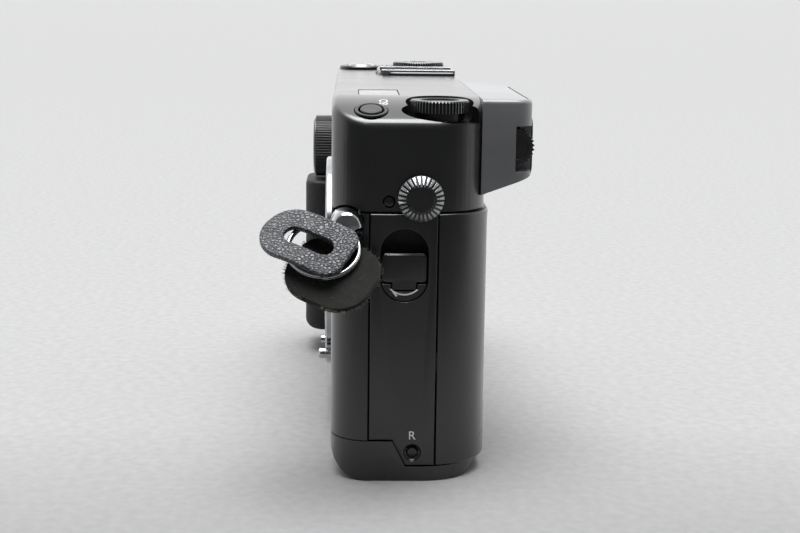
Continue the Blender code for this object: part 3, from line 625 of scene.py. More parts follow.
class CAMERA_OT_body_covers(bpy.types.Operator):
    """Build the front cover, base and end panel"""
    bl_idname = "camera_looks.body_covers"
    bl_label = "Body covers"

    def execute(self, context):
        self.front()
        self.base()
        self.end_panel()
        return {"FINISHED"}

    def front(self):
        bm = prism(plan(0, DOOR_BACK), "Z", BASE_SEAM + 0.2, TOP_SEAM - 0.15)
        bm = carve(bm, prism(plan(WALL, DOOR_BACK), "Z", 0, 60),
                   box(HINGE_POST, 70, PANEL_FRONT - 0.12, 20, 0, 60),
                   rod("Y", *LENS, MOUNT_RADIUS + GAP, -20, -14, 72),
                   rod("X", *LUG, 3.5, 55, 72, 36), rod("X", *LUG, 3.5, -72, -55, 36),
                   rod("Y", 24.0, 15.9, 1.5, -20, -14, 32),
                   rod("Y", FOCUS_DIAL[0], FOCUS_DIAL[1], 1.9, -20, -14, 24))
        piece("front_shell", bm, "body", "baked_enamel", ["front_cover"], fine=0.2)

    def tray(self, inset, low):
        front_r = BASE_ROUND[0] - inset
        back_r = BASE_ROUND[1] - inset
        section = arc(FRONT + inset + front_r, low + front_r, front_r, 180, 270, 14)
        section += arc(BASE_BACK - inset - back_r, low + back_r, back_r, 270, 360, 14)
        section += [(BASE_BACK - inset, 20), (FRONT + inset, 20)]
        top = BASE_SEAM if inset == 0 else BASE_SEAM + 1
        return carve(prism(plan(inset, BASE_BACK), "Z", low, top), prism(section, "X", -70, 70),
                     operation="INTERSECT")

    def base(self):
        bm = self.tray(0.0, 0.0)
        bm.normal_update()
        round_edges(bm, lambda middle, first, second: middle.z < 3 and min(first.z, second.z) < -0.3
                    and max(abs(first.x), abs(second.x)) > 0.5, 0.7, 3)
        lowered = [(-4.6, BASE_SEAM), (-2.0, SKIRT), (20, SKIRT), (20, 12), (-4.6, 12)]
        bm = carve(bm, self.tray(WALL, 1.6), prism(lowered, "X", HINGE_POST + GAP, 70),
                   rod("Z", -54.0, -3.2, 8.9, -1, 3, 56), rod("Z", LENS[0], -4.5, 5.2, -1, 3, 40))
        piece("base_shell", bm, "body", "baked_enamel", ["bottom_cover"], fine=0.2)

    def end_panel(self):
        side = [(PANEL_FRONT + 0.1, BASE_SEAM + 0.2), (-4.7, BASE_SEAM + 0.2), (-2.1, SKIRT + 0.2),
                (PANEL_BACK - 0.15, SKIRT + 0.2), (PANEL_BACK - 0.05, TOP_SEAM - 0.15),
                (PANEL_FRONT + 0.1, TOP_SEAM - 0.15)]
        bm = prism(side, "X", HALF - WALL, HALF)
        round_edges(bm, lambda middle, first, second: middle.x > HALF - 0.1, sizes().panel_round / MM, 4)
        well = prism(capsule(LATCH[0], 43.9, 4.75, 2.55, 24), "X", 60, 70)
        dimple = turned("X", *R_BUTTON, [(0, 65.2), (1.2, 65.7), (1.7, 66.2), (1.8, 66.8), (0, 66.8)], 32)
        bm = carve(bm, well, rod("X", *R_BUTTON, 1.1, 60, 70, 32), dimple)
        piece("end_panel", bm, "body", "baked_enamel", ["side_panel"], fine=0.14)


class CAMERA_OT_door(bpy.types.Operator):
    """Build the film door"""
    bl_idname = "camera_looks.door"
    bl_label = "Film door"

    def execute(self, context):
        bm = prism(plan(0, DOOR_BACK), "Z", SKIRT + 0.2, TOP_SEAM - 0.15)
        round_edges(bm, lambda middle, first, second: max(abs(first.z), abs(second.z)) > 0.9,
                    sizes().panel_round / MM, 4)
        bm = carve(bm, prism(plan(WALL, DOOR_BACK), "Z", 0, 60), box(-70, 70, -20, PANEL_BACK + 0.15, 0, 60),
                   box(-70, DOOR_EDGE, -20, 20, 0, 60))
        low, high = KNUCKLES
        bm = carve(bm, rod("Z", *HINGE, 1.5, low, high, 32),
                   box(HINGE[0] + 0.8, DOOR_EDGE + 1, 13.1, 14.3, low, high),
                   box(63.4, 65.6, 4.5, 6.2, 22, 26), box(63.4, 64.7, 1.6, 5.0, 22, 26), operation="UNION")
        rest = prism(rounded(39.5, 57.5, 13.5, 52.5, 2.0), "Y", DOOR_BACK - 0.25, 20)
        bm = carve(bm, rod("Z", *HINGE, 0.9, 0, 60, 24),
                   prism(rounded(44.7, 52.3, 17.7, 48.3, 1.2), "Y", 12, 16),
                   rest, ball((66.75, 7.8, 42.5), 0.75), ball((66.75, 7.4, 20.0), 0.75))
        piece("door_shell", bm, "door", "baked_enamel", ["back_door"], fine=0.16)
        return {"FINISHED"}


class CAMERA_OT_grip(bpy.types.Operator):
    """Build the rubber grip"""
    bl_idname = "camera_looks.grip"
    bl_label = "Grip"

    def execute(self, context):
        x0, x1, front = GRIP
        outline = arc(x0 + 4, front + 4, 4, 180, 270, 14) + arc(x1 - 5, front + 5, 5, 270, 350, 14)
        outline += [(x1, FRONT - 0.05), (x0, FRONT - 0.05)]
        bm = prism(outline, "Z", 6.0, 46.9)
        bm = round_edges(bm, lambda middle, first, second: middle.z < 6.1 and middle.y < FRONT - 0.5, 3.0, 8)
        bm.normal_update()
        round_edges(bm, lambda middle, first, second: middle.z > 46.8 and middle.y < FRONT - 0.5, 1.0, 5)
        piece("grip_pad", bm, "body", "pebbled_rubber", ["grip_rubber"], fine=0.0, angle=50)
        return {"FINISHED"}


# ---------------------------------------------------------------- finder
class CAMERA_OT_finder(bpy.types.Operator):
    """Build the finder housing, its eyecup and the diopter wheel"""
    bl_idname = "camera_looks.finder"
    bl_label = "Finder"

    def execute(self, context):
        x0, x1, y0, y1, z0, z1 = EYE_BOX
        outline = [(EYE_FLARE, y0 - 1.3), (x1, y0 - 1.3)] + arc(x1 - 3.5, y1 - 3.5, 3.5, 0, 90, 14)
        outline += arc(x0 + 4, y1 - 4, 4, 90, 155, 12)
        bm = prism(outline, "Z", z0, z1)
        under = [(y0 - 3, z0 - 1), (y1 + 1, z0 - 1), (y1 + 1, z0 + 4.4), (y1 - 0.8, z0 + 3.4),
                 (y0 - 3, z0 - 0.6)]
        bm = carve(bm, prism(under, "X", EYE_FLARE - 5, 65))
        bm.normal_update()
        round_edges(bm, rim(lambda middle: middle.z > z1 - 0.1 and middle.y > y0 - 0.1), 1.0, 5)
        bm.normal_update()
        round_edges(bm, lambda middle, first, second: middle.z < z0 + 5 and min(first.z, second.z) < -0.3
                    and middle.y > y0, 0.8, 4)
        d0, d1, dy, dz, dr = DIOPTER
        bm = carve(bm, prism(rounded(EYE_HOLE[0], EYE_HOLE[1], EYE_HOLE[2], EYE_HOLE[3], 1.0), "Y", 10, 25),
                   prism(rounded(38.3, 55.4, 59.9, 72.6, 3.0), "Y", 21.2, 25),
                   box(19.5, 57.5, 21.6, 25, 75.35, 80), box(d0 - GAP, x1 + 1, dy, 25, 61.8, 70.8),
                   rod("X", dy, dz, dr + GAP, d0 - GAP, d1 + GAP, 48))
        piece("finder_housing", bm, "body", "spark_grained_abs", ["eyepiece_housing"],
              fine=0.2)
        strip = prism(rounded(19.8, 57.2, 21.7, 22.6, 0.4), "Z", 75.36, 75.7)
        piece("finder_strip", strip, "body", "pebbled_rubber", fine=0.1)
        cup = prism(rounded(38.6, 55.1, 60.2, 72.3, 2.8, 10), "Y", 21.5, 23.3)
        cup = carve(cup, prism(rounded(41, 53, 62, 70.5, 2.0, 10), "Y", 20, 25))
        piece("finder_eyecup", cup, "body", "pebbled_rubber", ["eyecup"], fine=0.5)
        wheel = prism(toothed(dy, dz, dr - 0.35, dr, 26, 0.2), "X", d0, d1)
        hollow = [(2.6, d1 - 0.35), (0, d1 - 0.35), (0, d1 + 1), (2.6, d1 + 1)]
        wheel = carve(wheel, turned("X", dy, dz, hollow, 32))
        piece("diopter_knurl", wheel, "diopter", "black_anodised", ["diopter_wheel"],
              fine=0.05)
        return {"FINISHED"}


# ---------------------------------------------------------------- top controls
def on_tips(middle, x, y, radius, low):
    """Whether a face lies on an upright wheel's tooth tips: out past a radius, and above a height."""
    return math.hypot(middle.x - x, middle.y - y) > radius and middle.z > low


class CAMERA_OT_top_controls(bpy.types.Operator):
    """Build the dials, buttons, display and accessory shoe on the top"""
    bl_idname = "camera_looks.top_controls"
    bl_label = "Top controls"

    def execute(self, context):
        self.display()
        self.iso_key()
        self.drive_dial()
        self.shoe()
        self.shutter_dial()
        self.release()
        self.focus_wheel()
        return {"FINISHED"}

    def display(self):
        x0, x1, y0, y1 = LCD
        piece("display_window", prism(rounded(x0, x1, y0, y1, 0.4), "Z", 75.3, 75.94), "body",
              "display_acrylic", ["lcd_window"], fine=0.08)

    def iso_key(self):
        lean = self.on_shoulder()
        ring = turned("Z", 0, 0, [(2.55, -2.2), (3.2, -2.2), (3.2, 0.1), (3.05, 0.28), (2.65, 0.28),
                                  (2.55, 0.15)])
        ring.transform(lean)
        piece("iso_ring", ring, "body", "black_anodised", ["iso_bezel"], fine=0.0)
        key = turned("Z", 0, 0, [(0, -2.6), (2.15, -2.6), (2.15, 0.25), (2.0, 0.42), (1.7, 0.46),
                                 (0.8, 0.38), (0, 0.36)])
        key.transform(lean)
        piece("iso_key_cap", key, "iso_key", "black_anodised", ["iso_button"], fine=0.0)

    def on_shoulder(self):
        """The place and lean of the falling top at the key."""
        slope = math.asin((ISO[0] - SHOULDER[0]) / SHOULDER[1])
        return Matrix.Translation((*ISO, PLATEAU - shoulder_drop(ISO[0]))) @ Matrix.Rotation(slope, 4, "Y")

    def drive_dial(self):
        x, y = DRIVE
        count = sizes().drive_teeth
        dial = prism(toothed(x, y, 5.62, 5.95, count, 0.22), "Z", 73.3, 75.65)
        bm = carve(dial, turned("Z", x, y, [(0, 75.3), (3.9, 75.3), (4.1, 75.8), (0, 75.8)]),
                   turned("Z", x, y, [(5.45, 75.8), (6.1, 75.2), (6.1, 75.8)]))
        bm = carve(bm, rod("Z", x, y, 1.2, 69.6, 74, 20), rod("Z", x, y, 5.0, 71.7, 73.6), operation="UNION")
        obj = piece("drive_wheel", bm, "drive_selector", "black_anodised", ["drive_dial"],
                    fine=0.0)
        second_finish(obj, "rubbed_knurling", lambda middle, normal: on_tips(middle, x, y, 5.84, 73.4))

    def shoe(self):
        x0, x1, y0, y1 = SHOE
        channel = [(x0, 73.9), (x1, 73.9), (x1, 77.3), (x1 - 4.2, 77.3), (x1 - 4.2, 76.6), (x1 - 1.1, 76.6),
                   (x1 - 1.1, 74.6), (x0 + 1.1, 74.6), (x0 + 1.1, 76.6), (x0 + 4.2, 76.6), (x0 + 4.2, 77.3),
                   (x0, 77.3)]
        middle = (x0 + x1) / 2
        bm = carve(prism(channel, "Y", y0, y1), rod("Z", middle, 3.0, 1.6, 74.2, 75),
                   rod("Z", middle - 4.0, -1.0, 0.9, 74.2, 75), rod("Z", middle + 4.0, -1.0, 0.9, 74.2, 75),
                   rod("Z", x0 + 2.2, -3.4, 1.3, 77.05, 78), rod("Z", x1 - 2.2, -3.4, 1.3, 77.05, 78))
        piece("accessory_shoe", bm, "body", "pressed_steel", ["hot_shoe"], fine=0.1)
        for i, (dx, cy, radius) in enumerate(((0.0, 3.0, 1.25), (-4.0, -1.0, 0.65), (4.0, -1.0, 0.65))):
            pin = turned("Z", middle + dx, cy, [(0, 74.22), (radius, 74.22), (radius, 74.5),
                                                (radius * 0.7, 74.7), (0, 74.72)], 32)
            piece(f"shoe_contact_{i + 1}", pin, "body", "chrome_plate", fine=0.0)

    def shutter_dial(self):
        x, y, radius = DIAL
        count = sizes().dial_teeth
        dial = carve(prism(toothed(x, y, radius - 0.25, radius, count, 0.2), "Z", 75.4, 78.0),
                     turned("Z", x, y, [(radius - 0.5, 78.2), (radius + 0.2, 77.5), (radius + 0.2, 78.2)]),
                     turned("Z", x, y, [(0, 77.85), (2.2, 77.85), (2.4, 78.2), (0, 78.2)]))
        dial = carve(dial, rod("Z", x, y, 1.5, 70.5, 76, 20), operation="UNION")
        obj = piece("speed_wheel", dial, "speed_dial", "black_anodised", ["shutter_dial"],
                    fine=0.04)
        second_finish(obj, "rubbed_knurling",
                      lambda middle, normal: on_tips(middle, x, y, radius - 0.12, 75.6))
        speeds = ("A", "1", "2", "4", "8", "15", "30", "60", "125", "250", "500", "X")
        for i, words in enumerate(speeds):
            turn = 360 * i / len(speeds)
            reach = Matrix.Rotation(math.radians(turn), 3, "Z") @ Vector((0, radius - 1.9, 0))
            at = Vector((x, y, 78.0)) + reach
            mark(f"speed_mark_{i + 1}", words, 1.5, facing("Z", at, turn), "speed_dial", deep=0.01)
        ring = turned("Z", x, y, [(7.1, 75.4), (8.4, 75.4), (8.4, 76.8), (8.2, 77.0), (7.3, 77.0),
                                  (7.1, 76.8)], 96)
        piece("exposure_wheel", ring, "exposure_dial", "black_anodised", ["exposure_ring"],
              fine=0.0)
        for i, words in enumerate(("2", "1", "0", "1", "2")):
            turn = -60 + 30 * i
            reach = Matrix.Rotation(math.radians(turn), 3, "Z") @ Vector((0, 7.75, 0))
            at = Vector((x, y, 77.0)) + reach
            mark(f"exposure_mark_{i + 1}", words, 1.0, facing("Z", at, turn), "exposure_dial", deep=0.01)

    def release(self):
        x, y, radius = RELEASE
        button = turned("Z", x, y, [(0, 71), (radius, 71), (radius, 76.6), (radius - 0.3, 77.05),
                                    (2.6, 77.38), (1.8, 77.3), (1.0, 77.1), (0, 77.05)])
        piece("release_button", button, "release", "chrome_plate", ["shutter_button"], fine=0.0)
        ring = carve(turned("Z", x, y, [(4.0, 74.6), (5.8, 74.6), (5.8, 76.6), (5.5, 76.9), (4.2, 76.9),
                                        (4.0, 76.7)], 72),
                     *[rod("Z", x + 6.0 * math.cos(a), y + 6.0 * math.sin(a), 0.45, 74, 78, 12)
                       for a in (math.radians(200 + 12 * i) for i in range(6))])
        piece("power_collar", ring, "power_ring", "black_anodised", ["power_switch"],
              fine=0.05)

    def focus_wheel(self):
        x, z, radius = FOCUS_DIAL
        wheel = prism(toothed(x, z, radius - 0.25, radius, 72, 0.2), "Y", -22.6, -17.5)
        cap = turned("Y", x, z, [(0, -17.6), (radius - 0.6, -17.6), (radius - 0.6, -22.8),
                                 (radius - 1.2, -23.2), (0, -23.0)])
        bm = carve(wheel, cap, turned("Y", x, z, [(0, -14.6), (1.5, -14.6), (1.5, -17.8), (0, -17.8)], 24),
                   operation="UNION")
        piece("focus_knurl", bm, "focus_wheel", "black_anodised", ["focus_dial"], fine=0.05)
        for i, words in enumerate(("AF", "0.7", "1", "2", "5")):
            turn = 72 * i
            reach = Matrix.Rotation(math.radians(turn), 3, "Y") @ Vector((0, 0, radius - 2.8))
            at = Vector((x, -23.08, z)) + reach
            mark(f"focus_mark_{i + 1}", words, 1.6, facing("-Y", at, -turn), "focus_wheel", deep=0.08)


# ---------------------------------------------------------------- near end
class CAMERA_OT_latch(bpy.types.Operator):
    """Build the door latch, its key and the rewind button"""
    bl_idname = "camera_looks.latch"
    bl_label = "Door latch"

    def execute(self, context):
        y, z = LATCH
        disc = rod("X", y, z, 4.6, 63.2, 66.2, 64)
        disc = carve(disc, box(64.6, 70, -10, 5, 40.2, 50), box(64.6, 70, y - 2.6, y + 2.6, 38.7, 41))
        piece("latch_plate", disc, "latch", "black_anodised", ["latch_disc"], fine=0.12)
        key = prism(rounded(y - 4.5, y + 4.5, 40.5, 46.3, 1.0, 8), "X", 64.95, 66.25)
        round_edges(key, lambda middle, first, second: middle.x > 66.2, 0.4, 4)
        key = carve(key, box(64.95, 66.25, y - 2.3, y + 2.3, 39.1, 41.0), operation="UNION")
        key = carve(key, rod("Y", 66.9, 46.9, 1.15, y - 5, y + 5, 48))
        piece("latch_flap", key, "key", "baked_enamel", ["latch_key"], fine=0.1)
        button = turned("X", *R_BUTTON, [(0, 63.4), (1.0, 63.4), (1.0, 65.9), (0.9, 66.05), (0, 65.7)], 32)
        piece("rewind_key_cap", button, "rewind_key", "black_anodised", ["rewind_button"],
              fine=0.0)
        self.arrow(y, z)
        mark("rewind_letter", "R", 2.5, facing("X", (HALF, -0.7, 9.4)), "body")
        return {"FINISHED"}

    def arrow(self, y, z):
        """Curved arrow, filled white, on the lower part of the latch disc."""
        outer = arc(y, z + 0.6, 4.0, 227, 313, 20)
        inner = arc(y, z + 0.6, 3.68, 313, 227, 20)
        stroke = prism(outer + inner, "X", 66.19, 66.23)
        start = Vector(outer[0])
        barb = prism([(start.x - 0.1, start.y + 0.25), (start.x + 0.25, start.y + 0.15),
                      (start.x + 1.45, start.y - 1.15), (start.x + 1.15, start.y - 1.35)], "X", 66.19, 66.23)
        bm = carve(stroke, barb, operation="UNION")
        piece("latch_arrow", bm, "latch", "white_filling", fine=0.0)


class CAMERA_OT_sync(bpy.types.Operator):
    """Build the sync terminal's toothed cap and the cover screw"""
    bl_idname = "camera_looks.sync"
    bl_label = "Sync cap and screw"

    def execute(self, context):
        y, z = SYNC
        count = sizes().cap_teeth
        cone = turned("X", y, z, [(0, 68.95), (2.7, 68.95), (2.8, 69.25), (2.95, 69.3), (4.42, 68.2),
                                  (4.5, 68.0), (4.5, 66.8), (2.75, 66.8), (2.75, 68.0), (0, 68.0)], 108)
        grooves = bmesh.new()
        for i in range(count):
            made = bmesh.ops.create_cube(grooves, size=1.0)["verts"]
            lean = Matrix.Rotation(math.radians(-36), 4, "Y")
            turn = Matrix.Rotation(TURN * i / count, 4, "X")
            place = Matrix.Translation((0, y, z)) @ turn @ Matrix.Translation((68.6, 0, 3.75)) @ lean
            bmesh.ops.transform(grooves, matrix=place @ Matrix.Diagonal((1.0, 0.4, 2.6, 1.0)), verts=made)
        bm = carve(cone, grooves)
        obj = piece("sync_cap_knurl", bm, "sync_cover", "black_anodised", ["sync_cap"],
                    fine=0.05)
        second_finish(obj, "rubbed_knurling", lambda middle, normal: self.on_cone(middle, y, z))
        y, z = SCREW
        head = turned("X", y, z, [(0, 65.2), (1.1, 65.2), (1.1, 65.75), (0.95, 66.0), (0.5, 66.15),
                                  (0, 66.18)], 32)
        slots = [box(65.75, 67, y - half_u, y + half_u, z - half_v, z + half_v)
                 for half_u, half_v in ((0.75, 0.14), (0.14, 0.75))]
        piece("cross_screw", carve(head, *slots), "body", "black_anodised", ["cover_screw"],
              fine=0.04)
        return {"FINISHED"}

    def on_cone(self, middle, y, z):
        """Whether a face lies on the cap's sloping teeth and not down in a groove."""
        # the cone's faces lean 0.6 outwards and 0.8 along X, and stand 57.1 along that lean
        radius = math.hypot(middle.y - y, middle.z - z)
        return radius > 2.9 and 0.6 * radius + 0.8 * middle.x > 57.08


def ring_normal():
    return RING_DOWN.cross(Vector((0, 1, 0)))


def ring_place():
    local = Matrix((RING_DOWN, Vector((0, 1, 0)), ring_normal())).transposed().to_4x4()
    return Matrix.Translation(RING_CENTRE) @ local


def tilted_rod(centre, direction, radius, half_length):
    bm = rod("Z", 0, 0, radius, -half_length, half_length, 32)
    turn = Vector((0, 0, 1)).rotation_difference(direction).to_matrix().to_4x4()
    bm.transform(Matrix.Translation(centre) @ turn)
    return bm


class CAMERA_OT_lugs(bpy.types.Operator):
    """Build the strap lugs and the split ring"""
    bl_idname = "camera_looks.lugs"
    bl_label = "Strap lugs and ring"

    def execute(self, context):
        eye_axis = ring_normal().cross(LUG_EYE - RING_CENTRE).normalized()
        near = carve(self.post(1), tilted_rod(LUG_EYE, eye_axis, 1.4, 6))
        piece("strap_post_near", near, "body", "chrome_plate", ["strap_lug_near"], fine=0.15)
        eye = Vector((-LUG_EYE.x, LUG_EYE.y, LUG_EYE.z))
        far = carve(self.post(-1), tilted_rod(eye, Vector((0, 1, 0)), 1.4, 6))
        piece("strap_post_far", far, "body", "chrome_plate", ["strap_lug_far"], fine=0.15)
        self.ring()
        return {"FINISHED"}

    def post(self, sign):
        reach = [(0, 62.8), (3.2, 62.8), (3.2, 69.2)]
        reach += [(1.9 + 1.3 * math.cos(math.radians(a)), 69.2 + 2.1 * math.sin(math.radians(a)))
                  for a in range(15, 90, 15)]
        reach += [(1.2, 71.5), (0.6, 71.66), (0, 71.7)]
        return turned("X", *LUG, [(r, sign * x) for r, x in reach], 48)

    def ring(self):
        wire = sizes().ring_wire / MM
        bm = bmesh.new()
        loop = bmesh.ops.create_circle(bm, radius=wire, segments=14)["verts"]
        turn = Matrix.Translation((6.8, 0, -wire)) @ Matrix.Rotation(math.radians(90), 4, "X")
        bmesh.ops.transform(bm, matrix=turn, verts=loop)
        made = bmesh.ops.spin(bm, geom=bm.verts[:] + bm.edges[:], cent=(0, 0, 0), axis=(0, 0, 1),
                              dvec=(0, 0, 2 * wire / 144), angle=2 * TURN, steps=144)
        last = [item for item in made["geom_last"] if isinstance(item, bmesh.types.BMEdge)]
        first = [edge for edge in bm.edges if edge.is_boundary and edge not in last]
        bmesh.ops.contextual_create(bm, geom=first)
        bmesh.ops.contextual_create(bm, geom=last)
        bmesh.ops.translate(bm, vec=(-1.2, -0.4, 0), verts=bm.verts)
        bm.transform(ring_place())
        piece("split_ring_coil", bm, "strap_ring", "chrome_plate", ["split_ring"], fine=0.0,
              angle=60)


class CAMERA_OT_guard(bpy.types.Operator):
    """Build the leather guard round the strap ring"""
    bl_idname = "camera_looks.guard"
    bl_label = "Leather guard"

    def execute(self, context):
        front = self.leaf(self.front_outline(), 1.15, (0.0, -2.1), 0.012)
        obj = piece("guard_front_flap", front, "strap_ring", "grained_leather", ["leather_guard"],
                    fine=0.0, angle=60)
        second_finish(obj, "suede_nap", lambda middle, normal: normal.dot(ring_normal()) < -0.4)
        back = self.leaf(self.back_outline(), -2.35, (1.5, 0.0), -0.006)
        piece("guard_back_flap", back, "strap_ring", "suede_nap", fine=0.0, angle=60)
        self.fold()
        self.nap()
        return {"FINISHED"}

    def leaning(self, outline, cu, cv):
        """Lay an outline, long in its second axis, at its place on the ring's plane."""
        across, along = math.sin(LEAF_LEAN), math.cos(LEAF_LEAN)
        return [(cu + v * across - u * along, cv + v * along + u * across) for u, v in outline]

    def front_outline(self):
        outline = arc(0, -4.6, 6.2, 180, 360, 24)
        outline += arc(6.2 - 2.6, 7.6 - 2.6, 2.6, 0, 90, 10) + arc(-6.2 + 3.4, 7.6 - 3.4, 3.4, 90, 180, 10)
        return self.leaning(outline, -1.4, -2.4)

    def back_outline(self):
        return self.leaning(rounded(-7.2, 8.6, -8.8, 8.3, 6.2, 14), 4.4, 1.3)

    def leaf(self, outline, low, bend_at, bend):
        """A leather leaf on the ring's plane, bent across its length and cut fine enough to curve."""
        thick = sizes().guard_thick / MM
        bm = prism(outline, "Z", low, low + thick)
        if bend > 0:
            slot = self.leaning(capsule(0, 0, 1.9, 3.3, 10), -1.6, -3.2)
            bm = carve(bm, prism(slot, "Z", low - 1, low + thick + 1))
        round_edges(bm, lambda middle, first, second: max(abs(first.z), abs(second.z)) > 0.9, 0.28, 3)
        for axis in (0, 1):
            for step in range(-14, 15):
                place = Vector((0.0, 0.0, 0.0))
                place[axis] = step * 1.1 + 0.37
                normal = Vector((0.0, 0.0, 0.0))
                normal[axis] = 1.0
                bmesh.ops.bisect_plane(bm, geom=bm.verts[:] + bm.edges[:] + bm.faces[:], plane_co=place,
                                       plane_no=normal, dist=1e-4)
        bmesh.ops.triangulate(bm, faces=[face for face in bm.faces if len(face.verts) > 4])
        for vert in bm.verts:
            along = (vert.co.y - bend_at[1]) * math.cos(LEAF_LEAN) + \
                    (vert.co.x - bend_at[0]) * math.sin(LEAF_LEAN)
            vert.co.z -= bend * along * along
            vert.co.z += 0.12 * noise.noise(vert.co * 0.35)
        bm.transform(ring_place())
        return bm

    def fold(self):
        """The stitched post and narrow neck that join the two leaves at the outer end."""
        post = prism(self.leaning(rounded(-1.6, 1.6, -1.4, 1.4, 1.2, 6), -5.2, -9.6), "Z", -2.3, 0.7)
        neck = prism(self.leaning(rounded(-0.9, 0.9, -4.4, 6.0, 0.8, 6), -1.0, -6.3), "Z", -2.3, -1.1)
        bm = carve(post, neck, operation="UNION")
        bm.transform(ring_place())
        piece("guard_fold", bm, "strap_ring", "suede_nap", fine=0.15, angle=60)

    def nap(self):
        """Loose fibres standing from the suede's rim and face."""
        random.seed(11)
        outline = self.back_outline()
        bm = bmesh.new()
        centre = Vector((4.4, 1.5, 0.0))
        for i in range(sizes().suede_fibres):
            u, v = outline[random.randrange(len(outline))]
            on_rim = i % 3 != 0
            share = 1.0 if on_rim else random.uniform(0.3, 0.98)
            edge = Vector((u, v, 0.0)) - centre
            root = centre + edge * share - Vector((0.0, 0.0, 1.25))
            root += Vector([random.uniform(-0.35, 0.35) for _ in range(3)]) * (0.6 if on_rim else 1.5)
            out = edge.normalized() * (0.8 if on_rim else 0.2)
            tip = out + Vector([random.uniform(-0.6, 0.6), random.uniform(-0.6, 0.6),
                                random.uniform(0.0, 0.7)])
            made = bmesh.ops.create_cone(bm, cap_ends=True, segments=4, radius1=0.035, radius2=0.008,
                                         depth=random.uniform(0.4, 1.1))
            turn = Vector((0, 0, 1)).rotation_difference(tip).to_matrix().to_4x4()
            bmesh.ops.transform(bm, matrix=Matrix.Translation(root + tip * 0.2) @ turn, verts=made["verts"])
        bm.transform(ring_place())
        piece("guard_fibres", bm, "strap_ring", "suede_fibre", fine=0.0)


# ---------------------------------------------------------------- lens side
class CAMERA_OT_mount(bpy.types.Operator):
    """Build the lens mount with its bayonet claws and screws"""
    bl_idname = "camera_looks.mount"
    bl_label = "Lens mount"

    def execute(self, context):
        x, z = LENS
        bm = turned("Y", x, z, [(21.4, -15.3), (MOUNT_RADIUS, -15.3), (MOUNT_RADIUS, -18.4), (24.1, -18.8),
                                (21.6, -18.8), (21.4, -18.6)], 96)
        claws = []
        for start in (10, 130, 250):
            outline = arc(x, z, 21.6, start, start + 62, 16) + arc(x, z, 20.5, start + 62, start, 16)
            claws.append(prism(outline, "Y", -18.3, -17.1))
        bm = carve(bm, *claws, operation="UNION")
        holes = [rod("Y", x + 23.0 * math.cos(a), z + 23.0 * math.sin(a), 0.95, -18.5, -20, 24)
                 for a in (math.radians(35 + 90 * i) for i in range(4))]
        bm = carve(bm, rod("Y", x - 21.1, z - 7.7, 1.7, -20, -14, 24),
                   rod("Y", x + 16.3, z - 15.5, 1.1, -20, -14, 24), *holes)
        piece("bayonet_mount", bm, "body", "chrome_plate", ["mount_ring"], fine=0.08)
        for i in range(4):
            a = math.radians(35 + 90 * i)
            at = (x + 23.0 * math.cos(a), z + 23.0 * math.sin(a))
            head = turned("Y", *at, [(0, -18.5), (0.85, -18.5), (0.85, -18.65), (0.6, -18.78),
                                     (0, -18.78)], 24)
            slot = prism([(at[0] - 0.6, at[1] - 0.1), (at[0] + 0.6, at[1] - 0.1), (at[0] + 0.6, at[1] + 0.1),
                          (at[0] - 0.6, at[1] + 0.1)], "Y", -19, -18.62)
            piece(f"mount_screw_{i + 1}", carve(head, slot), "body", "pressed_steel", fine=0.0)
        return {"FINISHED"}


class CAMERA_OT_marks(bpy.types.Operator):
    """Fill the marks on the top cover"""
    bl_idname = "camera_looks.marks"
    bl_label = "Marks"

    def execute(self, context):
        x = 57.6
        slope = math.asin((x - SHOULDER[0]) / SHOULDER[1])
        place = Matrix.Translation((x, -6.7, PLATEAU - shoulder_drop(x))) @ Matrix.Rotation(slope, 4, "Y") \
            @ Matrix.Rotation(math.radians(180), 4, "Z")
        mark("iso_letters", "ISO", 2.5, place, "body")
        dot = turned("Z", -9.7, 10.2, [(0, 75.95), (0.55, 75.95), (0.55, 76.03), (0, 76.03)], 24)
        piece("film_plane_dot", dot, "body", "white_filling", fine=0.0)
        return {"FINISHED"}


